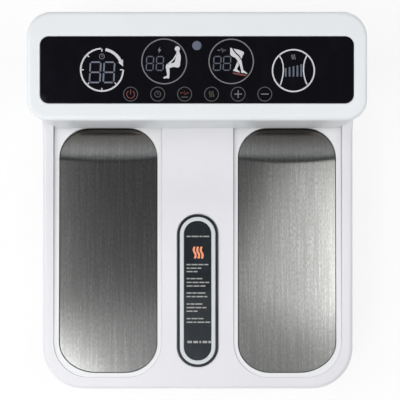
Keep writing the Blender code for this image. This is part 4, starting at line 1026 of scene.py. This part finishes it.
MARK_ORANGE = ink("mark_orange", (0.92, 0.34, 0.18), seed=15.0)
DIGIT_BRIGHT = ink("digit_bright", (0.16, 0.18, 0.23), seed=18.0)
DIGIT_DIM = ink("digit_dim", (0.100, 0.110, 0.140), seed=21.0)
BAR_SLATE = ink("bar_slate", (0.11, 0.135, 0.18), seed=24.0)
ROW_PALE = ink("row_pale", (0.36, 0.36, 0.35), seed=27.0)


def dress(piece, finish, body="housing", replaces=()):
    """Gives a piece its finish, body and the solids that it stands for."""
    piece.data.materials.clear()
    piece.data.materials.append(finish.material)
    evened = piece.modifiers.new("even_shading", "WEIGHTED_NORMAL")
    evened.keep_sharp = True
    evened.weight = 100
    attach(piece, body)
    if replaces:
        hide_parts(*replaces)
    return piece


# Shells


def make_cover():
    """Base cover: walls, sloping deck with a rounded edge, two pockets, badge recess, openings."""
    fillet_rows = np.linspace(FILLET_END - DECK_FILLET_RUN_OUT, FILLET_END, DECK_FILLET_ROWS + 1)
    plan = base_outline().with_rows(fillet_rows)
    bottom = PARTING + GAP
    rings = [plan.ring(-COVER_FOOT_EDGE, bottom), plan.ring(0, bottom + COVER_FOOT_EDGE),
             *rim_over(plan, 0, deck_height, deck_fillet, FILLET_STEPS + 2)]
    cover = stack("base_cover_shell", rings, upright)
    hollow = plan.rings(((-COVER_WALL, bottom - OVERRUN),
                         (-COVER_WALL, less(deck_height, HOLLOW_DEPTH))))
    cutters = [stack("cover_hollow", hollow, upright)]
    for side in SIDES:
        pocket = bezel_outline(side)
        rim = rim_into(pocket, seam_gap, 0, seam_edge)[::-1]
        mouth = pocket.ring(less(seam_gap, seam_edge, -1), OVERRUN)
        cutters.append(stack(f"pocket_{side}", [pocket.ring(GAP, -BEZEL_DEPTH - GAP), *rim, mouth]))
    recess = ((GAP, -BADGE_RECESS), (GAP, -BADGE_RECESS_EDGE), (GAP + BADGE_RECESS_EDGE, 0),
              (GAP + BADGE_RECESS_EDGE, OVERRUN))
    cutters.append(stack("badge_recess", badge_outline().rings(recess)))
    for x, (half_x, half_z) in ((INLET_X, INLET_BODY), (SWITCH_X, SWITCH_BODY)):
        cutters.append(block("wall_window", (x - half_x - GAP, -half_z - GAP, -OPENING_REACH),
                             (x + half_x + GAP, half_z + GAP, OPENING_REACH), OPENING_CORNER,
                             from_rear))
    carve(cover, *cutters)
    dress(cover, SHELL, replaces=("base_cover",))


def make_tray():
    """Bottom tray with leaning sides, a rounded lower edge, vents, screw wells and foot dimples."""
    plan = base_outline()
    low = TRAY_STANDOFF
    rings = [plan.ring(-TRAY_STEP - TRAY_LEAN - TRAY_EDGE * (1 - sin(angle)),
                       low + TRAY_EDGE * (1 - cos(angle)))
             for angle in np.linspace(0, pi / 2, FILLET_STEPS + 1)]
    tongue = -COVER_WALL - GAP
    rings += plan.rings(((-TRAY_STEP, PARTING), (tongue, PARTING), (tongue, PARTING + TONGUE_RISE),
                         (tongue - TONGUE_WALL, PARTING + TONGUE_RISE),
                         (tongue - TONGUE_WALL - TRAY_LEAN, low + TRAY_FLOOR)))
    tray = stack("bottom_tray_shell", rings, upright)
    screw_well = ((SCREW_WELL_MOUTH, low - OVERRUN), (SCREW_WELL_MOUTH, low),
                  (SCREW_WELL_RADIUS, low + SCREW_WELL_EDGE), (SCREW_WELL_RADIUS, SCREW_WELL_TOP))
    dimple = ((DIMPLE_MOUTH, low - OVERRUN), (DIMPLE_MOUTH, low),
              (DIMPLE_RADIUS, low + DIMPLE_DEPTH))
    cutters = [turned("screw_well", middle_of(node), screw_well) for node in CASE_SCREWS]
    cutters += [turned("foot_dimple", middle_of(node), dimple) for node in RUBBER_FEET]
    board_x, board_y = middle_of("main_board")
    for number in range(VENT_COUNT):
        x = board_x + (number - VENT_COUNT // 2) * VENT_PITCH
        cutters.append(block(
            "vent", (x - VENT_HALF_WIDTH, board_y - VENT_HALF_LENGTH, low - OVERRUN),
            (x + VENT_HALF_WIDTH, board_y + VENT_HALF_LENGTH, low + TRAY_FLOOR + OVERRUN),
            VENT_CORNER))
    carve(tray, *cutters)
    dress(tray, TRAY, replaces=("bottom_tray",))


def make_console():
    """Hollow console block with a broad rounded edge and a seat and window for the panel."""
    ceiling = CONSOLE_HEIGHT - CONSOLE_TOP_WALL
    foot = console_outline(0)
    rings = foot.rings(((-CONSOLE_FOOT_EDGE, GAP), (0, GAP + CONSOLE_FOOT_EDGE)))
    start = CONSOLE_HEIGHT - CONSOLE_FILLET
    for share in CONSOLE_WALL_SHARES:
        rings.append(console_outline(share * start / CONSOLE_HEIGHT).ring(0, share * start))
    rings += rim_over(console_outline(1), 0, CONSOLE_HEIGHT, CONSOLE_FILLET, CONSOLE_FILLET_STEPS)
    seat = panel_outline()
    seat_top = CONSOLE_HEIGHT - PANEL_THICKNESS - GAP
    rings += rim_into(seat, GAP, CONSOLE_HEIGHT, PANEL_SEAT_EDGE)
    rings += seat.rings(((GAP, seat_top), (-PANEL_LEDGE, seat_top), (-PANEL_LEDGE, ceiling)))
    rings += [console_outline(1, CONSOLE_WALL).ring(0, ceiling),
              console_outline(0, CONSOLE_WALL).ring(0, GAP)]
    dress(hoop("console_shell", rings), CONSOLE, replaces=("console_housing",))


def make_panel():
    """Gloss black touch panel, flush in its seat, with a hole for the receiver's lens."""
    plan = panel_outline()
    low = CONSOLE_HEIGHT - PANEL_THICKNESS
    panel = stack("touch_panel", [plan.ring(0, low), *rim_over(plan, 0, CONSOLE_HEIGHT, PANEL_EDGE)])
    lens_y = middle_of("ir_window")[1]
    lens_out = CONSOLE_HEIGHT - PANEL_THICKNESS / 2
    lens_middle = (0, (lens_y + lens_out * sin(DECK_SLOPE)) / cos(DECK_SLOPE))
    hole = [(LENS_RADIUS + GAP, CONSOLE_HEIGHT + reach) for reach in (-OVERRUN, OVERRUN)]
    carve(panel, turned("lens_hole", lens_middle, hole, from_deck))
    dress(panel, PANEL, replaces=("control_panel",))
    dome = [(LENS_RADIUS - inset, CONSOLE_HEIGHT - depth) for inset, depth in LENS_PROFILE]
    lens = turned("receiver_lens", lens_middle, [(LENS_RADIUS, low), *dome], from_deck)
    dress(lens, LENS, replaces=("ir_window",))


# Foot wells


def make_plate(side):
    """Steel sheet: flat, with a bowed ramp down at the toes, and its underside a sheet below."""
    middle = SIDES[side] * WELL_X
    bm = bmesh.new()
    bm.faces.new([bm.verts.new((x, along, 0)) for x, along in plate_outline(side).spots])
    rows = [RAMP_START + step * RAMP_ROW for step in RAMP_ROWS] + [RAMP_LAST_ROW]
    columns = [middle + step * PLATE_HALF / PLATE_COLUMNS
               for step in range(1 - PLATE_COLUMNS, PLATE_COLUMNS)]
    lines = [((0, row, 0), (0, 1, 0)) for row in rows]
    lines += [((column, 0, 0), (1, 0, 0)) for column in columns]
    for place, way in lines:
        everything = bm.verts[:] + bm.edges[:] + bm.faces[:]
        bmesh.ops.bisect_plane(bm, geom=everything, plane_co=place, plane_no=way)
    bmesh.ops.remove_doubles(bm, verts=bm.verts, dist=WELD)
    raised = bmesh.ops.extrude_face_region(bm, geom=bm.faces[:])["geom"]
    upper = {item for item in raised if isinstance(item, bmesh.types.BMVert)}
    for vert in bm.verts:
        x, along = vert.co.x, vert.co.y
        share = (x - middle) / PLATE_HALF
        start = RAMP_START - RAMP_BOW * (1 - share * share)
        level = bezel_top(along) - PLATE_INSET - float(ramp_drop(along, start))
        if vert not in upper:
            level -= PLATE_THICKNESS
        vert.co = from_deck([(x, along, level)])[0]
    dress(to_piece(f"steel_plate_{side}", bm), STEEL,
          replaces=(f"foot_plate_{side}",))


def make_gasket(side):
    """Rubber seal: a sheet under the plate's edge with a rounded lip that stands round it."""
    plan = plate_outline(side)
    outer = GAP + LIP

    def top(along):
        return bezel_top(along) - LIP_DEPTH - ramp_drop(along) * LIP_FOLLOW

    def sheet(along):
        return bezel_top(along) - PLATE_INSET - ramp_drop(along) - PLATE_THICKNESS - GAP

    sheet_low = less(sheet, GASKET_SHEET)
    rings = [*plan.rings(((-BEZEL_LEDGE, sheet_low), (outer, sheet_low))),
             *rim_over(plan, outer, top, LIP_EDGE, LIP_STEPS),
             *rim_into(plan, GAP, top, LIP_EDGE, LIP_STEPS),
             *plan.rings(((GAP, sheet), (-BEZEL_LEDGE, sheet)))]
    dress(hoop(f"plate_seal_{side}", rings), GASKET,
          replaces=(f"plate_gasket_{side}",))


def make_bezel(side):
    """White frame round the plate, rounded outside and in, with a ledge below the seal."""
    plan = plate_outline(side)
    inner = 2 * GAP + LIP

    def seat(along):
        drop = PLATE_INSET + PLATE_THICKNESS + GASKET_SHEET + 2 * GAP
        return bezel_top(along) - ramp_drop(along) - drop

    outside = bezel_outline(side)
    rings = [outside.ring(0, -BEZEL_DEPTH),
             *rim_over(outside, 0, bezel_top, seam_edge),
             *rim_into(plan, inner, bezel_top, BEZEL_INNER_EDGE),
             *plan.rings(((inner, seat), (-BEZEL_LEDGE, seat), (-BEZEL_LEDGE, -BEZEL_DEPTH)))]
    dress(hoop(f"well_bezel_{side}", rings), BEZEL,
          replaces=(f"foot_bezel_{side}",))


# Badge


def make_badge():
    """Black stadium with a pale ring and a gloss insert, each with softly rounded edges."""
    plan = badge_outline()
    bottom = GAP - BADGE_RECESS
    floor = bottom + BADGE_FLOOR
    top = BADGE_RISE - GAP
    rim_outer_edge, rim_inner_edge = BADGE_RIM_EDGES
    surround = [plan.ring(0, bottom), *rim_over(plan, 0, top, rim_outer_edge, FILLET_STEPS),
                *rim_into(plan, GAP - BADGE_RIM, top, rim_inner_edge, LIP_STEPS),
                plan.ring(GAP - BADGE_RIM, floor)]
    dress(stack("badge_surround", surround), BADGE_BLACK, replaces=("badge_frame",))
    low = floor + GAP
    inner = -BADGE_RIM - BADGE_BAND
    band = [plan.ring(-BADGE_RIM, low), *rim_over(plan, -BADGE_RIM, BADGE_RISE, BADGE_BAND_EDGE),
            *rim_into(plan, inner + GAP, BADGE_RISE, BADGE_BAND_EDGE), plan.ring(inner + GAP, low)]
    dress(hoop("badge_band", band), BADGE_PALE, replaces=("badge_ring",))
    window = [plan.ring(inner, low), *rim_over(plan, inner, top, BADGE_WINDOW_EDGE)]
    dress(stack("badge_window", window), BADGE_BLACK, replaces=("badge_insert",))


# Printed marks


def clock_way(turn):
    """Step of one pixel towards an angle in degrees, clockwise from the top."""
    return np.array((sin(radians(turn)), -cos(radians(turn))))


class Marks:
    """Flat printed marks on one face, gathered into one piece; all lengths are pixels."""

    def __init__(self, name, out):
        self.name = name
        self.out = out
        self.bm = bmesh.new()

    def raised(self, points):
        """Corners of a print on the face and a print's thickness above it."""
        spots = [photo_spot(px, py, self.out) for px, py in points]
        return [[self.bm.verts.new(spot)
                 for spot in from_deck([(x, along, level) for x, along in spots])]
                for level in (self.out, self.out + PRINT)]

    def polygon(self, points):
        low, high = self.raised(points)
        self.bm.faces.new(low)
        self.bm.faces.new(high)
        wall(self.bm, low, high)
        return self

    def box(self, low, high):
        return self.polygon([low, (high[0], low[1]), high, (low[0], high[1])])

    def stroke(self, points, width):
        """Line of one width with mitred corners."""
        line = np.array(points, float)
        ways = np.gradient(line, axis=0)
        ways /= np.linalg.norm(ways, axis=1)[:, None]
        across = np.column_stack([-ways[:, 1], ways[:, 0]]) * width / 2
        return self.polygon([*(line + across), *(line - across)[::-1]])

    def level_line(self, middle, reach, width):
        return self.stroke([middle + (-reach, 0), middle + (reach, 0)], width)

    def arc(self, middle, radius, turns, width, steps):
        """Part of a ring between two angles in degrees, clockwise from the top."""
        start, end = turns
        closed = end - start == 360
        ways = np.array([clock_way(turn) for turn in np.linspace(start, end, steps + 1)])
        if closed:
            ways = ways[:-1]
        sides = [self.raised(np.array(middle) + ways * reach)
                 for reach in (radius + width / 2, radius - width / 2)]
        (outer_low, outer_high), (inner_low, inner_high) = sides
        loops = [outer_low, outer_high, inner_high, inner_low]
        for first, second in zip(loops, loops[1:] + loops[:1]):
            wall(self.bm, first, second, closed)
        if not closed:
            self.bm.faces.new([loop[0] for loop in loops])
            self.bm.faces.new([loop[-1] for loop in loops])
        return self

    def ring(self, middle, radius, width, steps=RING_SIDES):
        return self.arc(middle, radius, (0, 360), width, steps)

    def disc(self, middle, radius):
        return self.polygon(round_plan(middle, radius, DISC_SIDES).spots)

    def bar(self, first, last, width):
        """Straight bar with pointed ends."""
        first, last = np.array(first, float), np.array(last, float)
        way = (last - first) / np.linalg.norm(last - first)
        across = np.array((-way[1], way[0])) * width / 2
        tip = way * width / 2
        return self.polygon([first, first + tip + across, last - tip + across, last,
                             last - tip - across, first + tip - across])

    def digit(self, corner, size, width):
        """Figure eight of seven bars with pointed ends, leaning a little to the right."""
        left, top = corner
        right, bottom = left + size[0], top + size[1]
        middle = (top + bottom) / 2
        gap = width * DIGIT_GAP_SHARE

        def leaning(x, y):
            return (x + (middle - y) * DIGIT_LEAN, y)

        for y in (top + width / 2, middle, bottom - width / 2):
            self.bar(leaning(left + width / 2 + gap, y), leaning(right - width / 2 - gap, y), width)
        for x in (left + width / 2, right - width / 2):
            self.bar(leaning(x, top + width / 2 + gap), leaning(x, middle - gap), width)
            self.bar(leaning(x, middle + gap), leaning(x, bottom - width / 2 - gap), width)
        return self

    def digits(self, corners, size, width):
        for corner in corners:
            self.digit(corner, size, width)
        return self

    def clock(self, middle, radius, width):
        x, y = middle
        upright_hand, level_hand = CLOCK_HANDS
        self.ring(middle, radius, width, CLOCK_SIDES)
        hands = [(x, y - radius * upright_hand), (x, y), (x + radius * level_hand, y)]
        return self.stroke(hands, width)

    def pulse(self, middle, reach, width):
        """Line with one beat, down and up."""
        x, y = middle
        return self.stroke([(x + across * reach, y + down * reach * PULSE_HEIGHT)
                            for across, down in PULSE_SHAPE], width)

    def waves(self, middle, reach, width):
        """Three rising waves."""
        x, y = middle
        for shift in WAVE_SHIFTS:
            self.stroke([(x + reach * (shift + WAVE_SWING * sin(turn * pi)), y + reach * turn)
                         for turn in np.linspace(-1, 1, WAVE_POINTS)], width)
        return self

    def spark(self, middle, reach):
        x, y = middle
        return self.polygon([(x + across * reach, y + down * reach)
                             for across, down in SPARK_SHAPE])

    def printed(self, finish, slot="panel_gloss"):
        return dress(to_piece(self.name, self.bm), finish)


def on_panel(name):
    return Marks(name, CONSOLE_HEIGHT)


def on_badge(name):
    return Marks(name, BADGE_RISE - GAP)


def make_time_dial():
    """Ring with ticks, a thick arrow over its first quarter, and two figures."""
    middle = np.array(TIME_MIDDLE)
    dial = on_panel("time_dial_marks").arc(*TIME_RING, TIME_RING_STEPS)
    for turn in TICK_TURNS:
        dial.stroke([middle + clock_way(turn) * end for end in TICK_ENDS], TICK_LINE)
    dial.arc(*TIME_ARROW, TIME_ARROW_STEPS)
    dial.polygon([middle + clock_way(turn) * reach for reach, turn in ARROW_HEAD])
    dial.printed(MARK_WHITE)
    on_panel("time_figures").digits(*TIME_FIGURES).printed(DIGIT_BRIGHT)
    on_panel("time_glyph").clock(*TIME_GLYPH).printed(MARK_GREY)


def make_energy_dial():
    """Thin ring, two dim figures and a plain seated figure with its hands on its knees."""
    on_panel("energy_ring").ring(*ENERGY_RING).spark(*ENERGY_GLYPH).printed(MARK_GREY)
    on_panel("energy_figures").digits(*ENERGY_FIGURES).printed(DIGIT_DIM)
    sitter = on_panel("seated_figure").disc(*SITTER_HEAD).polygon(SITTER_BODY)
    sitter.stroke(SITTER_ARM, SITTER_ARM_LINE).printed(MARK_WHITE)


def make_pulse_dial():
    """Thin ring, two dim figures and a pair of walking legs on a sole strip."""
    on_panel("pulse_ring").ring(*PULSE_RING).pulse(*PULSE_GLYPH).printed(MARK_GREY)
    on_panel("pulse_figures").digits(*PULSE_FIGURES).printed(DIGIT_DIM)
    legs = on_panel("leg_figures")
    for outline in (BACK_LEG, FRONT_THIGH, FRONT_SHIN):
        legs.polygon(outline)
    legs.printed(MARK_WHITE)
    on_panel("sole_strip").polygon(SOLE).printed(MARK_RED)


def make_heat_dial():
    """Ring with two bowed lines and five bars that grow to the right."""
    ring = on_panel("heat_ring").ring(*HEAT_RING)
    for bow in HEAT_BOWS:
        ring.stroke(bow, HEAT_BOW_LINE)
    ring.printed(MARK_WHITE)
    bars = on_panel("heat_bars")
    for x, top in HEAT_BARS:
        left, right = x - HEAT_BAR_HALF, x + HEAT_BAR_HALF
        bars.polygon([(left, top), (right, top - HEAT_BAR_SLANT), (right, HEAT_BAR_FOOT),
                      (left, HEAT_BAR_FOOT)])
    bars.printed(BAR_SLATE)
    on_panel("heat_glyph").waves(*HEAT_GLYPH).printed(MARK_GREY)


def make_keys():
    """Six ringed touch keys with plain symbols."""
    keys = [np.array((x, KEY_ROW)) for x in KEY_COLUMNS]
    power_key, time_key, pulse_key, heat_key, more_key, less_key = keys
    rings = on_panel("key_rings")
    for key in keys:
        rings.ring(key, KEY_RADIUS, KEY_LINE, KEY_SIDES)
    rings.printed(MARK_DIM)
    power = on_panel("power_symbol")
    power.arc(power_key + (0, POWER_DROP), POWER_RADIUS, POWER_TURNS, POWER_LINE, POWER_STEPS)
    power.stroke([power_key + (0, end) for end in POWER_BAR], POWER_LINE)
    power.pulse(pulse_key + (0, PULSE_KEY_DROP), PULSE_KEY_REACH, POWER_LINE).printed(MARK_RED)
    grey = on_panel("key_symbols_grey").clock(time_key, TIME_KEY_RADIUS, TIME_KEY_LINE)
    grey.level_line(pulse_key + (0, UNDERLINE_DROP), UNDERLINE_REACH, UNDERLINE).printed(MARK_DIM)
    heat = on_panel("key_symbols_olive").waves(heat_key, HEAT_KEY_REACH, HEAT_KEY_LINE)
    heat.printed(MARK_OLIVE)
    signs = on_panel("plus_and_minus").level_line(more_key, SIGN_REACH, SIGN_LINE)
    for end in (-SIGN_REACH, SIGN_GAP):
        signs.stroke([more_key + (0, end), more_key + (0, end + SIGN_REACH - SIGN_GAP)], SIGN_LINE)
    signs.level_line(less_key, SIGN_REACH, SIGN_LINE).printed(MARK_GREY)


def make_badge_print():
    """Plain marks on the badge's insert: rising waves in orange, and pale dashes in rows."""
    on_badge("badge_waves").waves(*BADGE_WAVES).printed(MARK_ORANGE, "badge_gloss")
    rows = on_badge("badge_dashes")
    for y, dashes in BADGE_ROWS:
        x = BADGE_ROW_START
        for dash in dashes:
            rows.box((x, y - BADGE_ROW_HALF), (x + dash, y + BADGE_ROW_HALF))
            x += dash + BADGE_DASH_GAP
    rows.printed(ROW_PALE, "badge_gloss")
    heavy = on_badge("badge_heavy_dashes")
    top, bottom = BADGE_HEAVY_ROW
    for x, width in BADGE_HEAVY_DASHES:
        heavy.box((x, top), (x + width, bottom))
    heavy.printed(ROW_PALE, "badge_gloss")


# Rear wall


def make_inlet():
    """Three-blade mains inlet: body, flange with a rounded rim, and a keyed cavity."""
    face = GAP + FLANGE
    back = rear_outline(INLET_X, INLET_BODY, INLET_BODY_CORNER)
    flange = rear_outline(INLET_X, INLET_FLANGE, INLET_FLANGE_CORNER)
    cavity = rear_outline(INLET_X, CAVITY, *CAVITY_CORNERS, chamfer_low=True)
    rings = [back.ring(0, -INLET_DEPTH), back.ring(0, GAP), flange.ring(0, GAP),
             *rim_over(flange, 0, face, INLET_FLANGE_EDGE),
             *rim_into(cavity, 0, face, CAVITY_EDGE, LIP_STEPS),
             cavity.ring(0, face - CAVITY_DEPTH)]
    dress(stack("mains_socket", rings, from_rear), BLACK,
          replaces=("mains_inlet",))
    for number, (across, up) in enumerate(BLADE_PLACES, 1):
        plan = rear_outline(INLET_X + across, BLADE, BLADE_CORNER, up=up)
        rings = [plan.ring(grow, face + depth) for grow, depth in BLADE_PROFILE]
        dress(stack(f"socket_blade_{number}", rings, from_rear), NICKEL,
              replaces=("mains_inlet",))


def rocker_face(end):
    """Lays points out on one half of the rocker's face: across, away from its middle, and out."""
    rise = ROCKER_TIP - ROCKER_VALLEY
    slant = atan2(rise, ROCKER_REACH)
    mark_place = ROCKER_REACH * ROCKER_MARK_PLACE_SHARE
    mark_level = ROCKER_VALLEY + rise * ROCKER_MARK_LEVEL_SHARE + ROCKER_MARK_LIFT

    def lay(spots):
        across, away, out = np.asarray(spots, float).T
        reach = end * (mark_place + away * cos(slant))
        return from_rocker(np.column_stack([mark_level + away * sin(slant) + out, reach, across]))

    return lay


def make_switch():
    """Snap-in switch frame with an open room, and a rocker with a shallow V across its face."""
    face = GAP + FLANGE
    back = rear_outline(SWITCH_X, SWITCH_BODY, SWITCH_BODY_CORNER)
    flange = rear_outline(SWITCH_X, SWITCH_FLANGE, SWITCH_FLANGE_CORNER)
    room = rear_outline(SWITCH_X, SWITCH_ROOM, SWITCH_ROOM_CORNER)
    rings = [back.ring(0, face - SWITCH_DEPTH), back.ring(0, GAP), flange.ring(0, GAP),
             *rim_over(flange, 0, face, SWITCH_FLANGE_EDGE),
             *rim_into(room, 0, face, SWITCH_ROOM_EDGE, LIP_STEPS),
             room.ring(0, face - SWITCH_ROOM_DEPTH)]
    dress(stack("switch_surround", rings, from_rear), BLACK,
          replaces=("switch_frame",))
    rise = ROCKER_TIP - ROCKER_VALLEY
    turns = np.linspace(-1, 1, ROCKER_CURVE_STEPS + 1)
    bow = turns ** 2 * ROCKER_CURVE_SHARE + np.abs(turns) * (1 - ROCKER_CURVE_SHARE)
    face_line = zip(ROCKER_VALLEY + rise * bow, turns * ROCKER_REACH)
    shoulder = ROCKER_ROOT * ROCKER_SHOULDER_SHARE
    plan = free_plan([(ROCKER_ROOT, ROCKER_TAPER - ROCKER_REACH), (shoulder, -ROCKER_REACH),
                      *face_line, (shoulder, ROCKER_REACH),
                      (ROCKER_ROOT, ROCKER_REACH - ROCKER_TAPER)])
    edge = ROCKER_EDGE * ROCKER_EDGE_SHARE
    half_edge = [(-ROCKER_EDGE, ROCKER_HALF_WIDTH), (-edge, ROCKER_HALF_WIDTH - edge),
                 (0, ROCKER_HALF_WIDTH - ROCKER_EDGE)]
    levels = [(grow, -across) for grow, across in half_edge] + half_edge[::-1]
    rocker = stack("power_rocker_cap", plan.rings(levels), from_rocker)
    dress(rocker, ROCKER, body="rocker", replaces=("power_rocker",))
    thick = PRINT * 2
    loop = round_plan((0, 0), ROCKER_MARK_REACH)
    line = ROCKER_MARK_LINE
    off_mark = hoop("rocker_mark_off", loop.rings(((0, 0), (0, thick), (-line, thick), (-line, 0))),
                    rocker_face(-1))
    dress(off_mark, MARK_WHITE, body="rocker")
    on_mark = block("rocker_mark_on", (-line / 2, -ROCKER_MARK_REACH, 0),
                    (line / 2, ROCKER_MARK_REACH, thick), line / 4, rocker_face(1))
    dress(on_mark, MARK_WHITE, body="rocker")


# Underside


def make_feet():
    """Rubber feet with a chamfered edge and two grooves in the tread."""
    stud = [(radius, TRAY_STANDOFF + rise) for radius, rise in FOOT_STUD_PROFILE]
    for number, node in enumerate(RUBBER_FEET, 1):
        foot = turned(f"tread_foot_{number}", middle_of(node), [*stud, *FOOT_TREAD_PROFILE])
        dress(foot, FOOT, replaces=(node,))


def make_case_screws():
    """Pan-head screws with a cross recess, deep in the tray's wells."""
    for number, node in enumerate(CASE_SCREWS, 1):
        x, y = middle_of(node)
        head, tip = (corner.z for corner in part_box(node))
        profile = [(radius, head + rise) for radius, rise in SCREW_HEAD_PROFILE]
        profile += [(radius, tip + rise) for radius, rise in SCREW_TIP_PROFILE]
        screw = turned(f"pan_screw_{number}", (x, y), profile, sides=SCREW_SIDES)
        slots = [block("slot", (x - half_x, y - half_y, head - CROSS_OVERRUN),
                       (x + half_x, y + half_y, head + CROSS_DEPTH), CROSS_CORNER)
                 for half_x, half_y in (CROSS_HALF, CROSS_HALF[::-1])]
        carve(screw, *slots)
        dress(screw, BRIGHT, replaces=(node,))


# Inside the shells


def finish_inside():
    """Finishes for the boards, heaters, foam, leads and fixings that the shells hide."""
    springs = [f"touch_spring_{number}" for number in range(1, 7)]
    console_screws = [f"console_screw_{number}" for number in range(1, 5)]
    well_finishes = {"heater_pad": film_orange("heater_film"),
                     "support_foam": foam_grey("support_foam"), "energy_emitter": CASE_METAL,
                     "thermostat": BRIGHT, "foot_harness": LEAD}
    chosen = [
        (board_green("circuit_board"), ["display_board", "main_board"]),
        (DISPLAY, ["time_display", "energy_display", "ems_display", "heat_display"]),
        (BLACK, ["remote_receiver", "filter_capacitor"]),
        (wound_block("transformer_core"), ["transformer"]),
        (CASE_METAL, ["heatsink"]),
        (ribbon_grey("ribbon_cable_cover"), ["ribbon_cable"]),
        (LEAD, ["mains_lead"]),
        (BRIGHT, springs + console_screws),
    ]
    for name, finish in well_finishes.items():
        chosen.append((finish, [f"{name}_{side}" for side in SIDES]))
    for finish, nodes in chosen:
        for node in nodes:
            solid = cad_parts[node]
            solid.data.materials.clear()
            solid.data.materials.append(finish.material)


# Studio


def make_floor():
    """Wide pale floor that curves up into a backdrop far behind the lamps."""
    plan = rounded_plan((-FLOOR_HALF, -FLOOR_HALF), (FLOOR_HALF, FLOOR_HALF), FLOOR_CORNER)
    bm = bmesh.new()
    loops = stacked(bm, plan.rings(BACKDROP_PROFILE), upright, closed=False)
    bm.faces.new(loops[0])
    floor = to_piece("studio_floor", bm)
    floor.data.materials.append(floor_finish("studio_floor", FLOOR_COLOUR).material)


def softbox(name, middle, aim, size, power, colour):
    """Rectangular soft light aimed at a point."""
    data = bpy.data.lights.new(name, "AREA")
    data.shape = "RECTANGLE"
    data.size, data.size_y = size
    data.energy = power
    data.color = colour
    lamp = bpy.data.objects.new(name, data)
    lamp.location = middle
    lamp.rotation_euler = (Vector(aim) - Vector(middle)).to_track_quat("-Z", "Y").to_euler()
    bpy.context.scene.collection.objects.link(lamp)


def make_studio():
    make_floor()
    world = bpy.data.worlds.new("studio")
    bpy.context.scene.world = world
    world.use_nodes = True
    ambience = world.node_tree.nodes["Background"]
    ambience.inputs["Color"].default_value = AMBIENCE_COLOUR
    ambience.inputs["Strength"].default_value = AMBIENCE_STRENGTH
    for lamp in LAMPS:
        softbox(*lamp)


def make_camera():
    data = bpy.data.cameras.new("camera")
    data.sensor_width = SENSOR_MM
    data.lens = SENSOR_MM * FOCAL_PX / FRAME_PX
    data.shift_x = -(CENTRE_PX - FRAME_PX / 2) / FRAME_PX
    camera = bpy.data.objects.new("camera", data)
    camera.location = from_deck([(EYE_X, EYE_ALONG, EYE_HEIGHT)])[0]
    camera.rotation_euler = (DECK_SLOPE, 0, 0)
    bpy.context.scene.collection.objects.link(camera)
    bpy.context.scene.camera = camera


def make_pieces():
    make_cover()
    make_tray()
    make_console()
    make_panel()
    for side in SIDES:
        make_plate(side)
        make_gasket(side)
        make_bezel(side)
    make_badge()
    make_time_dial()
    make_energy_dial()
    make_pulse_dial()
    make_heat_dial()
    make_keys()
    make_badge_print()
    make_inlet()
    make_switch()
    make_feet()
    make_case_screws()
    finish_inside()


make_camera()
make_pieces()
make_studio()
bpy.context.scene.view_settings.view_transform = "Standard"
